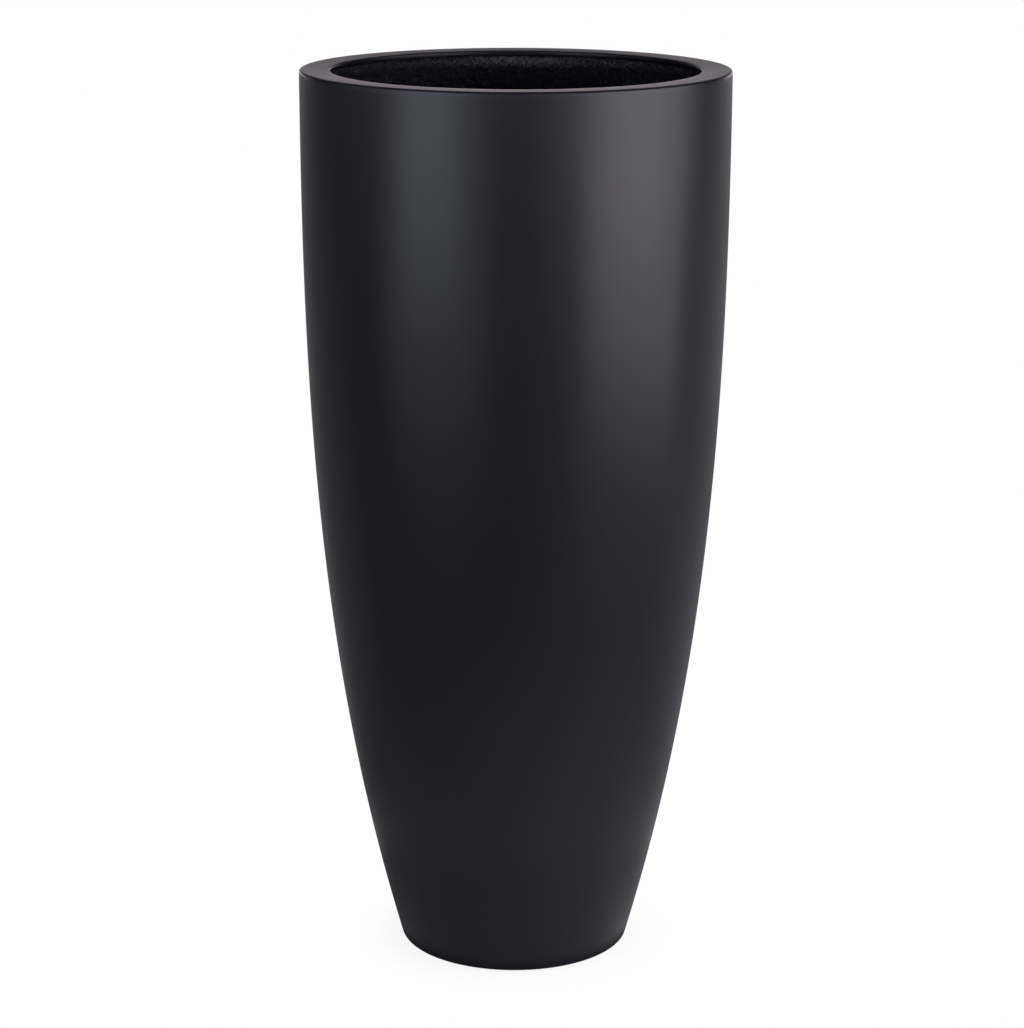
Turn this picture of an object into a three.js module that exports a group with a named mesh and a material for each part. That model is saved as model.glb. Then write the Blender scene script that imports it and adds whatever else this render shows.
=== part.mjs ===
// A tall round planter of glass-fibre laminate, painted matt black outside.
// The wall opens from a narrow foot to a wide mouth, where a flat lip turns inwards.
// The lip is a ring bonded on the wall's top edge and taped to the wall from below.
// The closed bottom is pushed up inside a foot band, a stiff plate is bonded over it,
// a rubber plug closes the drain hole, and four rubber pads lift the foot off the floor.
// Millimetres, +Z up. The origin is on the floor, on the planter's own axis.

import * as THREE from 'three';

const { clamp, degToRad, lerp } = THREE.MathUtils;

// Outside form
const HEIGHT = 900; // floor to the top of the lip
const MOUTH_RADIUS = 211; // outside, at the lip, the widest place
const FOOT_RADIUS = 116; // outside, where the wall's curve meets the foot's plane
const WALL_CURVE = 2.67; // power of the curve that draws the wall in towards the foot
const FOOT_CORNER = 5; // radius of the rounded corner under the wall

// Laminate
const WALL_THICKNESS = 5;
const BOTTOM_THICKNESS = 6;
const BOND_GAP = 0.3; // between any two pieces that are glued or that rest on each other

// Lip
const LIP_WIDTH = 30; // from the outer edge to the mouth
const LIP_THICKNESS = 6;
const LIP_OUTER_EDGE = 1.8; // radius
const LIP_INNER_EDGE = 2.4; // radius, above and below

// Glass tape in the corner under the lip
const LIP_TAPE_DROP = 14; // down the wall
const LIP_TAPE_REACH = 14; // in under the lip
const LIP_TAPE_COVE = 4; // radius of its hollow corner

// Foot
const FOOT_BAND_WIDTH = 22; // flat band between the rounded corner and the recess
const FOOT_RECESS = 8; // how far the bottom is pushed up inside the band
const RECESS_DRAFT = 2; // how far the recess narrows towards its ceiling

// Stiff plate over the bottom
const PLATE_THICKNESS = 12;
const SUMP_DEPTH = 5; // round well in the plate's top that takes the plug's head
const SUMP_CLEARANCE = 1.5; // around the plug's head

// Glass tape around the plate
const PLATE_TAPE_RISE = 34; // up the wall
const PLATE_TAPE_REACH = 26; // in over the plate
const PLATE_TAPE_COVE = 16; // radius of its hollow corner
const TAPE_THICKNESS = 2.5;

// Drain hole and its rubber plug
const DRAIN_RADIUS = 12.5;
const PLUG_CLEARANCE = 0.4; // around the plug's stem
const PLUG_HEAD_RADIUS = 20;
const PLUG_HEAD_THICKNESS = 4;
const PLUG_TIP_LENGTH = 4; // below the bottom, inside the recess
const PLUG_TIP_TAPER = 2;
const KNOB_NECK_RADIUS = 5;
const KNOB_NECK_HEIGHT = 8;
const KNOB_RADIUS = 8.5;
const KNOB_HEIGHT = 8;

// Rubber pads under the foot band
const PAD_COUNT = 4;
const PAD_RADIUS = 8;
const PAD_HEIGHT = 3;
const PAD_CHAMFER = 1;

// Facets
const AROUND = 64; // around the planter
const AROUND_SMALL = 32; // around the plug and the pads
const WALL_STEPS = 14; // up the wall
const ARC_STEPS = 4; // along a rounded edge

// Heights and radii that follow from the sizes above
const footPlane = PAD_HEIGHT + BOND_GAP;
const lipUnderside = HEIGHT - LIP_THICKNESS;
const wallTop = lipUnderside - BOND_GAP;
const bandOuter = FOOT_RADIUS - FOOT_CORNER;
const bandInner = bandOuter - FOOT_BAND_WIDTH;
const recessCeiling = footPlane + FOOT_RECESS;
const channelFloor = footPlane + BOTTOM_THICKNESS;
const bottomTop = recessCeiling + BOTTOM_THICKNESS;
const channelInner = bandInner + BOTTOM_THICKNESS;
const plateUnderside = bottomTop + BOND_GAP;
const plateTop = plateUnderside + PLATE_THICKNESS;
const sumpFloor = plateTop - SUMP_DEPTH;

// The share of the way down from the lip to the foot's plane.
function depthShare(z) {
  return (HEIGHT - z) / (HEIGHT - footPlane);
}

function outerRadius(z) {
  return MOUTH_RADIUS - (MOUTH_RADIUS - FOOT_RADIUS) * depthShare(z) ** WALL_CURVE;
}

// Radius of the wall's inner face, at right angles to the leaning outer face.
function innerRadius(z) {
  const rise = (MOUTH_RADIUS - FOOT_RADIUS) / (HEIGHT - footPlane);
  const lean = rise * WALL_CURVE * depthShare(z) ** (WALL_CURVE - 1);
  return outerRadius(z) - WALL_THICKNESS * Math.hypot(1, lean);
}

// Height of one of the rings of points up the wall's inner face.
function innerRing(step) {
  return lerp(channelFloor, wallTop, step / WALL_STEPS);
}

// Radius of a piece that lies against the wall's inner face, which is straight between rings.
function againstWall(z) {
  const steps = ((z - channelFloor) / (wallTop - channelFloor)) * WALL_STEPS;
  const below = clamp(Math.floor(steps), 0, WALL_STEPS - 1);
  const face = lerp(innerRadius(innerRing(below)), innerRadius(innerRing(below + 1)), steps - below);
  return face - BOND_GAP;
}

const plateTapeLow = plateTop + BOND_GAP;
const plateTapeInner = againstWall(plateTapeLow) - PLATE_TAPE_REACH;

const point = (radius, z) => new THREE.Vector2(radius, z);

// Points along a face of the wall, from one height to another.
function wallPoints(radiusAt, fromZ, toZ, steps) {
  return Array.from({ length: steps + 1 }, (_, i) => {
    const z = lerp(fromZ, toZ, i / steps);
    return point(radiusAt(z), z);
  });
}

// Points along an arc about (radius, z), with angles in degrees from the outward direction.
function arcPoints(radius, z, arcRadius, fromDegrees, toDegrees) {
  return Array.from({ length: ARC_STEPS + 1 }, (_, i) => {
    const angle = degToRad(lerp(fromDegrees, toDegrees, i / ARC_STEPS));
    return point(radius + arcRadius * Math.cos(angle), z + arcRadius * Math.sin(angle));
  });
}

// A closed outline turned about the upright axis. Outlines run anticlockwise: up the outer side.
function turned(outline, segments) {
  const first = outline[0];
  const onAxis = first.x === 0;
  const profile = onAxis ? outline : [...outline, first.clone()];
  return new THREE.LatheGeometry(profile, segments).rotateX(Math.PI / 2);
}

// Materials
const mattPaint = new THREE.MeshStandardMaterial({ color: 0x1f1e22, roughness: 0.5, metalness: 0 });
const rawLaminate = new THREE.MeshStandardMaterial({ color: 0x141416, roughness: 0.75, metalness: 0 });
const resinPutty = new THREE.MeshStandardMaterial({ color: 0x3a3a3c, roughness: 0.85, metalness: 0 });
const softRubber = new THREE.MeshStandardMaterial({ color: 0x101011, roughness: 0.9, metalness: 0 });

const planter = new THREE.Group();

function addPiece(name, geometry, material) {
  const mesh = new THREE.Mesh(geometry, material);
  mesh.name = name;
  planter.add(mesh);
  return mesh;
}

// The wall and the closed bottom, laid up as one laminate.
function shellGeometry() {
  const cornerTop = footPlane + FOOT_CORNER;
  const cornerCentre = outerRadius(cornerTop) - FOOT_CORNER;
  return turned(
    [
      point(DRAIN_RADIUS, recessCeiling),
      point(bandInner - RECESS_DRAFT, recessCeiling),
      point(bandInner, footPlane),
      ...arcPoints(cornerCentre, cornerTop, FOOT_CORNER, -90, 0),
      ...wallPoints(outerRadius, cornerTop, wallTop, WALL_STEPS).slice(1),
      ...wallPoints(innerRadius, wallTop, channelFloor, WALL_STEPS),
      point(channelInner, channelFloor),
      point(channelInner - RECESS_DRAFT, bottomTop),
      point(DRAIN_RADIUS, bottomTop),
    ],
    AROUND,
  );
}

// The flat lip, with rounded edges.
function lipGeometry() {
  const mouth = MOUTH_RADIUS - LIP_WIDTH;
  const insetTop = HEIGHT - LIP_INNER_EDGE;
  const insetBottom = lipUnderside + LIP_INNER_EDGE;
  return turned(
    [
      point(outerRadius(lipUnderside), lipUnderside),
      ...arcPoints(MOUTH_RADIUS - LIP_OUTER_EDGE, HEIGHT - LIP_OUTER_EDGE, LIP_OUTER_EDGE, 0, 90),
      ...arcPoints(mouth + LIP_INNER_EDGE, insetTop, LIP_INNER_EDGE, 90, 180),
      ...arcPoints(mouth + LIP_INNER_EDGE, insetBottom, LIP_INNER_EDGE, 180, 270),
    ],
    AROUND,
  );
}

// Tape in the corner between the wall and the lip's underside.
function lipTapeGeometry() {
  const ceiling = lipUnderside - BOND_GAP;
  const low = ceiling - LIP_TAPE_DROP;
  const corner = againstWall(ceiling);
  const coveRadius = corner - TAPE_THICKNESS - LIP_TAPE_COVE;
  const coveZ = ceiling - TAPE_THICKNESS - LIP_TAPE_COVE;
  return turned(
    [
      point(againstWall(low), low),
      point(corner, ceiling),
      point(corner - LIP_TAPE_REACH, ceiling),
      point(corner - LIP_TAPE_REACH, ceiling - TAPE_THICKNESS),
      ...arcPoints(coveRadius, coveZ, LIP_TAPE_COVE, 90, 0),
      point(againstWall(low) - TAPE_THICKNESS, low + TAPE_THICKNESS),
    ],
    AROUND,
  );
}

// Putty that levels the hollow over the foot band with the raised bottom.
function puttyRingGeometry() {
  const low = channelFloor + BOND_GAP;
  return turned(
    [
      point(channelInner + BOND_GAP, low),
      point(againstWall(low), low),
      point(againstWall(bottomTop), bottomTop),
      point(channelInner - RECESS_DRAFT + BOND_GAP, bottomTop),
    ],
    AROUND,
  );
}

// The stiff plate, with a well for the plug's head around the drain hole.
// A ring of points on its top marks the edge of the tape, so the floor inside it is whole.
function plateGeometry() {
  const sumpRadius = PLUG_HEAD_RADIUS + SUMP_CLEARANCE;
  return turned(
    [
      point(DRAIN_RADIUS, plateUnderside),
      point(againstWall(plateUnderside), plateUnderside),
      point(againstWall(plateTop), plateTop),
      point(plateTapeInner - BOND_GAP, plateTop),
      point(sumpRadius, plateTop),
      point(sumpRadius, sumpFloor),
      point(DRAIN_RADIUS, sumpFloor),
    ],
    AROUND,
  );
}

// Tape in the corner between the plate and the wall.
function plateTapeGeometry() {
  const coveZ = plateTapeLow + TAPE_THICKNESS + PLATE_TAPE_COVE;
  const coveRadius = againstWall(coveZ) - TAPE_THICKNESS - PLATE_TAPE_COVE;
  const high = plateTapeLow + PLATE_TAPE_RISE;
  return turned(
    [
      point(plateTapeInner, plateTapeLow),
      point(againstWall(plateTapeLow), plateTapeLow),
      point(againstWall(high), high),
      point(againstWall(high) - TAPE_THICKNESS, high - TAPE_THICKNESS),
      ...arcPoints(coveRadius, coveZ, PLATE_TAPE_COVE, 0, -90),
      point(plateTapeInner + TAPE_THICKNESS, plateTapeLow + TAPE_THICKNESS),
    ],
    AROUND,
  );
}

// The plug: a stem in the drain hole, a head in the well and a knob to pull it by.
function plugGeometry() {
  const stem = DRAIN_RADIUS - PLUG_CLEARANCE;
  const tip = recessCeiling - PLUG_TIP_LENGTH;
  const headUnderside = sumpFloor + BOND_GAP;
  const headTop = headUnderside + PLUG_HEAD_THICKNESS;
  const headBevel = PLUG_HEAD_THICKNESS / 2;
  const knobLow = headTop + KNOB_NECK_HEIGHT;
  const knobTop = knobLow + KNOB_HEIGHT;
  return turned(
    [
      point(0, tip),
      point(stem - PLUG_TIP_TAPER, tip),
      point(stem, tip + PLUG_TIP_LENGTH),
      point(stem, headUnderside),
      point(PLUG_HEAD_RADIUS, headUnderside),
      point(PLUG_HEAD_RADIUS, headTop - headBevel),
      point(PLUG_HEAD_RADIUS - headBevel, headTop),
      point(KNOB_NECK_RADIUS, headTop),
      point(KNOB_NECK_RADIUS, knobLow),
      point(KNOB_RADIUS, knobLow + KNOB_HEIGHT / 2),
      point(KNOB_NECK_RADIUS, knobTop),
      point(0, knobTop),
    ],
    AROUND_SMALL,
  );
}

// A round pad that stands on the floor, under the foot band.
function padGeometry() {
  return turned(
    [
      point(0, 0),
      point(PAD_RADIUS - PAD_CHAMFER, 0),
      point(PAD_RADIUS, PAD_CHAMFER),
      point(PAD_RADIUS, PAD_HEIGHT),
      point(0, PAD_HEIGHT),
    ],
    AROUND_SMALL,
  );
}

addPiece('shell', shellGeometry(), mattPaint);
addPiece('lip_ring', lipGeometry(), mattPaint);
addPiece('lip_tape', lipTapeGeometry(), rawLaminate);
addPiece('foot_putty_ring', puttyRingGeometry(), resinPutty);
addPiece('base_plate', plateGeometry(), rawLaminate);
addPiece('base_tape', plateTapeGeometry(), rawLaminate);
addPiece('drain_plug', plugGeometry(), softRubber);

const padCircle = (bandInner + bandOuter) / 2;
for (let i = 0; i < PAD_COUNT; i++) {
  const angle = ((i + 0.5) / PAD_COUNT) * 2 * Math.PI;
  const pad = addPiece(`foot_pad_${i + 1}`, padGeometry(), softRubber);
  pad.position.set(padCircle * Math.cos(angle), padCircle * Math.sin(angle), 0);
}

export default planter;
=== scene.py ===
"""Dresses a tall round planter of painted glass laminate, and gives it a plain studio and a camera.

The planter is a set of turned pieces. Each is drawn as a closed section beside the planter's axis, and
one Geometry Nodes tree bends that section to the wall's curve, turns it round the axis and roughens it.
Lengths are in metres, unless something else is said. +Z is up, and the origin lies on the floor under
the middle of the foot.
"""

import logging
import math
from dataclasses import dataclass, replace
from enum import Enum
from functools import reduce

import bpy
from mathutils import Matrix, Vector


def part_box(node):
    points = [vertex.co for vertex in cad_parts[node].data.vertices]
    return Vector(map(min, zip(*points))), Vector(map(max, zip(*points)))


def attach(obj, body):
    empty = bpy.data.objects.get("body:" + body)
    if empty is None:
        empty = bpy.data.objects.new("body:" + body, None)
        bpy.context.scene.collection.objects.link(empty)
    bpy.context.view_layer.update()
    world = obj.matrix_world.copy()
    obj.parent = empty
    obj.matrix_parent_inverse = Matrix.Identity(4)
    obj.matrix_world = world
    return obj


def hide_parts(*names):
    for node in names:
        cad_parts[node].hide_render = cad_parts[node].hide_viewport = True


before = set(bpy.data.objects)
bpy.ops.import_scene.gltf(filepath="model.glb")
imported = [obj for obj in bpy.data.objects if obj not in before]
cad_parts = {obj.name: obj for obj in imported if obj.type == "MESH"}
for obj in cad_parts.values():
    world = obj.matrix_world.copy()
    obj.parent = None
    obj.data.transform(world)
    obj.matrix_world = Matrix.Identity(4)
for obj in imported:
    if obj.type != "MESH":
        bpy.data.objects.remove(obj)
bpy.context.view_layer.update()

LOG = logging.getLogger("planter")
Socket = bpy.types.NodeSocket
MM = 0.001


class Body(Enum):
    """The bodies that a piece can ride on."""

    PLANTER = "planter"
    PLUG = "plug"


class Slot(Enum):
    """The material slots of the record."""

    PAINT = "matt_paint"
    LAMINATE = "raw_laminate"
    PUTTY = "resin_putty"
    RUBBER = "soft_rubber"


def put_in(name: str, data: bpy.types.ID) -> bpy.types.Object:
    """Puts a mesh, a light or a camera into the scene.

    Args:
        name: the new object's name.
        data: what it shows.

    Returns:
        The new object, at the origin.
    """
    made = bpy.data.objects.new(name, data)
    bpy.context.scene.collection.objects.link(made)
    return made


# ---- Node trees ----


def emptied(owner: bpy.types.Material | bpy.types.World) -> bpy.types.NodeTree:
    """Gives a material or a world an empty node tree.

    Args:
        owner: the material or the world.

    Returns:
        Its node tree.
    """
    owner.use_nodes = True
    owner.node_tree.nodes.clear()
    return owner.node_tree


class Graph:
    """Adds nodes to one node tree and links them."""

    def __init__(self, tree: bpy.types.NodeTree) -> None:
        """Keeps the shader or geometry node tree to add to."""
        self.tree = tree

    def node(self, kind: str, **settings: object) -> bpy.types.Node:
        """Adds a node.

        Args:
            kind: the node's type name.
            settings: properties to set on it.

        Returns:
            The new node.
        """
        made = self.tree.nodes.new(kind)
        for name, value in settings.items():
            setattr(made, name, value)
        return made

    def link(self, kind: str, inputs: dict[str | int, object] | None = None,
             **settings: object) -> Socket:
        """Adds a node and feeds it.

        Args:
            kind: the node's type name.
            inputs: an output socket or a constant for each input, by its name or number.
            settings: properties to set on the node.

        Returns:
            The node's first output socket.
        """
        made = self.node(kind, **settings)
        for key, value in (inputs or {}).items():
            self.feed(made.inputs[key], value)
        return made.outputs[0]

    def feed(self, socket: Socket, value: object) -> None:
        """Links a socket to an output, or sets its constant.

        Args:
            socket: the input socket.
            value: an output socket, or a constant.
        """
        if isinstance(value, Socket):
            self.tree.links.new(value, socket)
        else:
            socket.default_value = value

    def math(self, operation: str, *values: object) -> Socket:
        """Adds a Math node, fed with output sockets or numbers, and returns its output socket."""
        return self.link("ShaderNodeMath", dict(enumerate(values)), operation=operation)

    def times(self, a: object, b: object) -> Socket:
        """The product of two sockets or numbers."""
        return self.math("MULTIPLY", a, b)

    def plus(self, a: object, b: object) -> Socket:
        """The sum of two sockets or numbers."""
        return self.math("ADD", a, b)

    def minus(self, a: object, b: object) -> Socket:
        """The first socket or number less the second."""
        return self.math("SUBTRACT", a, b)

    def over(self, a: object, b: object) -> Socket:
        """The first socket or number divided by the second."""
        return self.math("DIVIDE", a, b)

    def vector(self, operation: str, *values: object) -> Socket:
        """Adds a Vector Math node, with the factor of SCALE second, and returns its vector socket."""
        keys = (0, "Scale") if operation == "SCALE" else (0, 1)
        return self.link("ShaderNodeVectorMath", dict(zip(keys, values)), operation=operation)

    def combine(self, x: object, y: object, z: object) -> Socket:
        """Joins three sockets or numbers into a vector."""
        return self.link("ShaderNodeCombineXYZ", {0: x, 1: y, 2: z})

    def separate(self, vector: Socket) -> bpy.types.NodeOutputs:
        """Splits a vector into the output sockets of its three numbers."""
        return self.link("ShaderNodeSeparateXYZ", {0: vector}).node.outputs

    def noise(self, vector: Socket, size: object, detail: float = 2.0, seed: object = 0.0,
              roughness: float = 0.5) -> Socket:
        """Adds a Noise Texture whose grain has a real size.

        Args:
            vector: the place to read it at.
            size: the size of one grain.
            detail: the number of finer layers.
            seed: shifts the pattern.
            roughness: how strong the finer layers are.

        Returns:
            The texture's factor, about 0.5 on average.
        """
        scale = self.over(1.0, size) if isinstance(size, Socket) else 1.0 / size
        inputs = {"Vector": vector, "W": seed, "Scale": scale, "Detail": detail, "Roughness": roughness}
        return self.link("ShaderNodeTexNoise", inputs, noise_dimensions="4D")

    def remap(self, value: Socket, low: float, high: float, to_low: float = 0.0,
              to_high: float = 1.0) -> Socket:
        """Spreads a range of values over another, with eased ends, and clamps it.

        Args:
            value: the value's output socket.
            low: the value that gives to_low.
            high: the value that gives to_high.
            to_low: the result at low.
            to_high: the result at high.

        Returns:
            The result's output socket.
        """
        inputs = dict(enumerate((value, low, high, to_low, to_high)))
        return self.link("ShaderNodeMapRange", inputs, interpolation_type="SMOOTHSTEP")

    def swing(self, factor: Socket, reach: object) -> Socket:
        """How far a factor of 0.5 on average strays from it, times a reach."""
        return self.times(self.minus(factor, 0.5), reach)


# ---- Sections and the tree that turns them ----


@dataclass(frozen=True)
class Point:
    """One point of a section.

    Attributes:
        across: metres from the axis, or, on the wall, metres outwards from the wall's outer face.
        height: metres above the floor.
        on_wall: 1 where across is counted from the wall's outer face, 0 where from the axis.
        rough: the share of the surface's lumps that this point takes.
        ragged_out: the share of the torn edge's reach that moves it outwards.
        ragged_up: the share of the torn edge's reach that moves it upwards.
    """

    across: float
    height: float
    on_wall: float = 0.0
    rough: float = 0.0
    ragged_out: float = 0.0
    ragged_up: float = 0.0


POINT_WEIGHTS = ("on_wall", "rough", "ragged_out", "ragged_up")


@dataclass(frozen=True)
class WallRule:
    """The curve that the wall follows from its foot to its mouth.

    Attributes:
        mouth_radius: the outer radius at the top.
        top: the height of the lip's top.
        foot: the height of the foot's plane.
        foot_radius: the outer radius where the curve meets the foot's plane.
        power: how late the wall turns in towards the foot.
    """

    mouth_radius: float
    top: float
    foot: float
    foot_radius: float = 116 * MM
    power: float = 2.67

    def share(self, height: float) -> float:
        """The share of the way down from the lip to the foot's plane."""
        return max(self.top - height, 0.0) / (self.top - self.foot)

    def outer(self, height: float) -> float:
        """The outer radius at a height."""
        return self.mouth_radius - (self.mouth_radius - self.foot_radius) * self.share(height) ** self.power

    def lean(self, height: float) -> float:
        """How much further across the leaning wall a thickness reaches than at right angles to it."""
        rise = (self.mouth_radius - self.foot_radius) / (self.top - self.foot)
        return math.hypot(1.0, rise * self.power * self.share(height) ** (self.power - 1))

    def inner(self, height: float, thickness: float) -> float:
        """The radius of a face inside the wall's outer face by a thickness."""
        return self.outer(height) - thickness * self.lean(height)


def straight(start: Point, end: Point, step: float) -> list[Point]:
    """Points from start to just before end, evenly spaced.

    Args:
        start: the first point.
        end: the point that the stretch leads to, which isn't among the points.
        step: the largest spacing.

    Returns:
        The points, which take the weights of the start, blended towards those of the end.
    """
    count = max(1, math.ceil(math.hypot(end.across - start.across, end.height - start.height) / step))
    names = ("across", "height", *POINT_WEIGHTS)
    return [
        Point(*(getattr(start, n) + (getattr(end, n) - getattr(start, n)) * i / count for n in names))
        for i in range(count)
    ]


def rounded(centre: Point, radius: float, start_degrees: float, end_degrees: float,
            steps: int) -> list[Point]:
    """Points along an arc, with both ends.

    Args:
        centre: the arc's centre, whose weights the points take.
        radius: the arc's radius.
        start_degrees: the angle of the first point, from the outward direction.
        end_degrees: the angle of the last point.
        steps: the number of steps.

    Returns:
        The points.
    """
    points = []
    for i in range(steps + 1):
        angle = math.radians(start_degrees + (end_degrees - start_degrees) * i / steps)
        points.append(replace(centre, across=centre.across + radius * math.cos(angle),
                              height=centre.height + radius * math.sin(angle)))
    return points


@dataclass(frozen=True)
class Texture:
    """How rough and how torn a turned piece is.

    Attributes:
        lump: how far its rough faces rise and fall.
        lump_size: the width of one lump.
        tear: how far its torn edges wander.
        tear_size: the width of one tear.
        seed: picks the pattern.
    """

    lump: float = 0.0
    lump_size: float = 14 * MM
    tear: float = 0.0
    tear_size: float = 16 * MM
    seed: float = 1.0


def signed_volume(mesh: bpy.types.Mesh) -> float:
    """The volume that a closed mesh holds, negative if its faces point in.

    Args:
        mesh: the mesh.

    Returns:
        The volume, in cubic metres.
    """
    mesh.calc_loop_triangles()
    total = 0.0
    for triangle in mesh.loop_triangles:
        a, b, c = (mesh.vertices[i].co for i in triangle.vertices)
        total += a.dot(b.cross(c))
    return total / 6


def inputs_of(values: object) -> dict[str, object]:
    """The fields of a dataclass under the names of a tree's inputs, such as Lump Size for lump_size."""
    return {name.replace("_", " ").title(): value for name, value in vars(values).items()}


class PieceTree:
    """A Geometry Nodes tree with named inputs, which ends in plain geometry with its material.

    Attributes:
        NAME: the tree's name.
        WHOLE: the names of its whole-number inputs.
        FLOATS: the names of its other number inputs.
    """

    NAME = "piece"
    WHOLE: tuple[str, ...] = ()
    FLOATS: tuple[str, ...] = ()

    def __init__(self) -> None:
        """Builds the tree once. All the pieces of its kind share it."""
        self.tree = bpy.data.node_groups.new(self.NAME, "GeometryNodeTree")
        face = self.tree.interface
        face.new_socket("Geometry", in_out="INPUT", socket_type="NodeSocketGeometry")
        for name in self.WHOLE:
            face.new_socket(name, in_out="INPUT", socket_type="NodeSocketInt")
        for name in self.FLOATS:
            face.new_socket(name, in_out="INPUT", socket_type="NodeSocketFloat")
        face.new_socket("Material", in_out="INPUT", socket_type="NodeSocketMaterial")
        face.new_socket("Geometry", in_out="OUTPUT", socket_type="NodeSocketGeometry")
        self.graph = Graph(self.tree)
        self.given = self.graph.node("NodeGroupInput").outputs
        realized = self.graph.link("GeometryNodeRealizeInstances", {0: self._shape()})
        dress = {"Geometry": realized, "Material": self.given["Material"]}
        dressed = self.graph.link("GeometryNodeSetMaterial", dress)
        self.graph.feed(self.graph.node("NodeGroupOutput").inputs[0], dressed)

    def _shape(self) -> Socket:
        """Links the stages that make the piece, and returns its geometry."""
        raise NotImplementedError

    def run(self, name: str, bed: bpy.types.Mesh, inputs: dict[str, object]) -> bpy.types.Object:
        """Runs the tree on a mesh, and keeps the result as a plain mesh object.

        Args:
            name: the finished piece's name.
            bed: the mesh to run it on, which is removed afterwards.
            inputs: the value of each named input.

        Returns:
            The finished piece, at the origin, with its faces pointing out.
        """
        carrier = put_in(name + "_bed", bed)
        modifier = carrier.modifiers.new(self.NAME, "NODES")
        modifier.node_group = self.tree
        for item in self.tree.interface.items_tree:
            if item.item_type == "SOCKET" and item.in_out == "INPUT" and item.name in inputs:
                modifier[item.identifier] = inputs[item.name]
        graph = bpy.context.evaluated_depsgraph_get()
        mesh = bpy.data.meshes.new_from_object(carrier.evaluated_get(graph), depsgraph=graph)
        mesh.name = name
        bpy.data.objects.remove(carrier)
        bpy.data.meshes.remove(bed)
        if signed_volume(mesh) < 0:
            mesh.flip_normals()
        return put_in(name, mesh)


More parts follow.
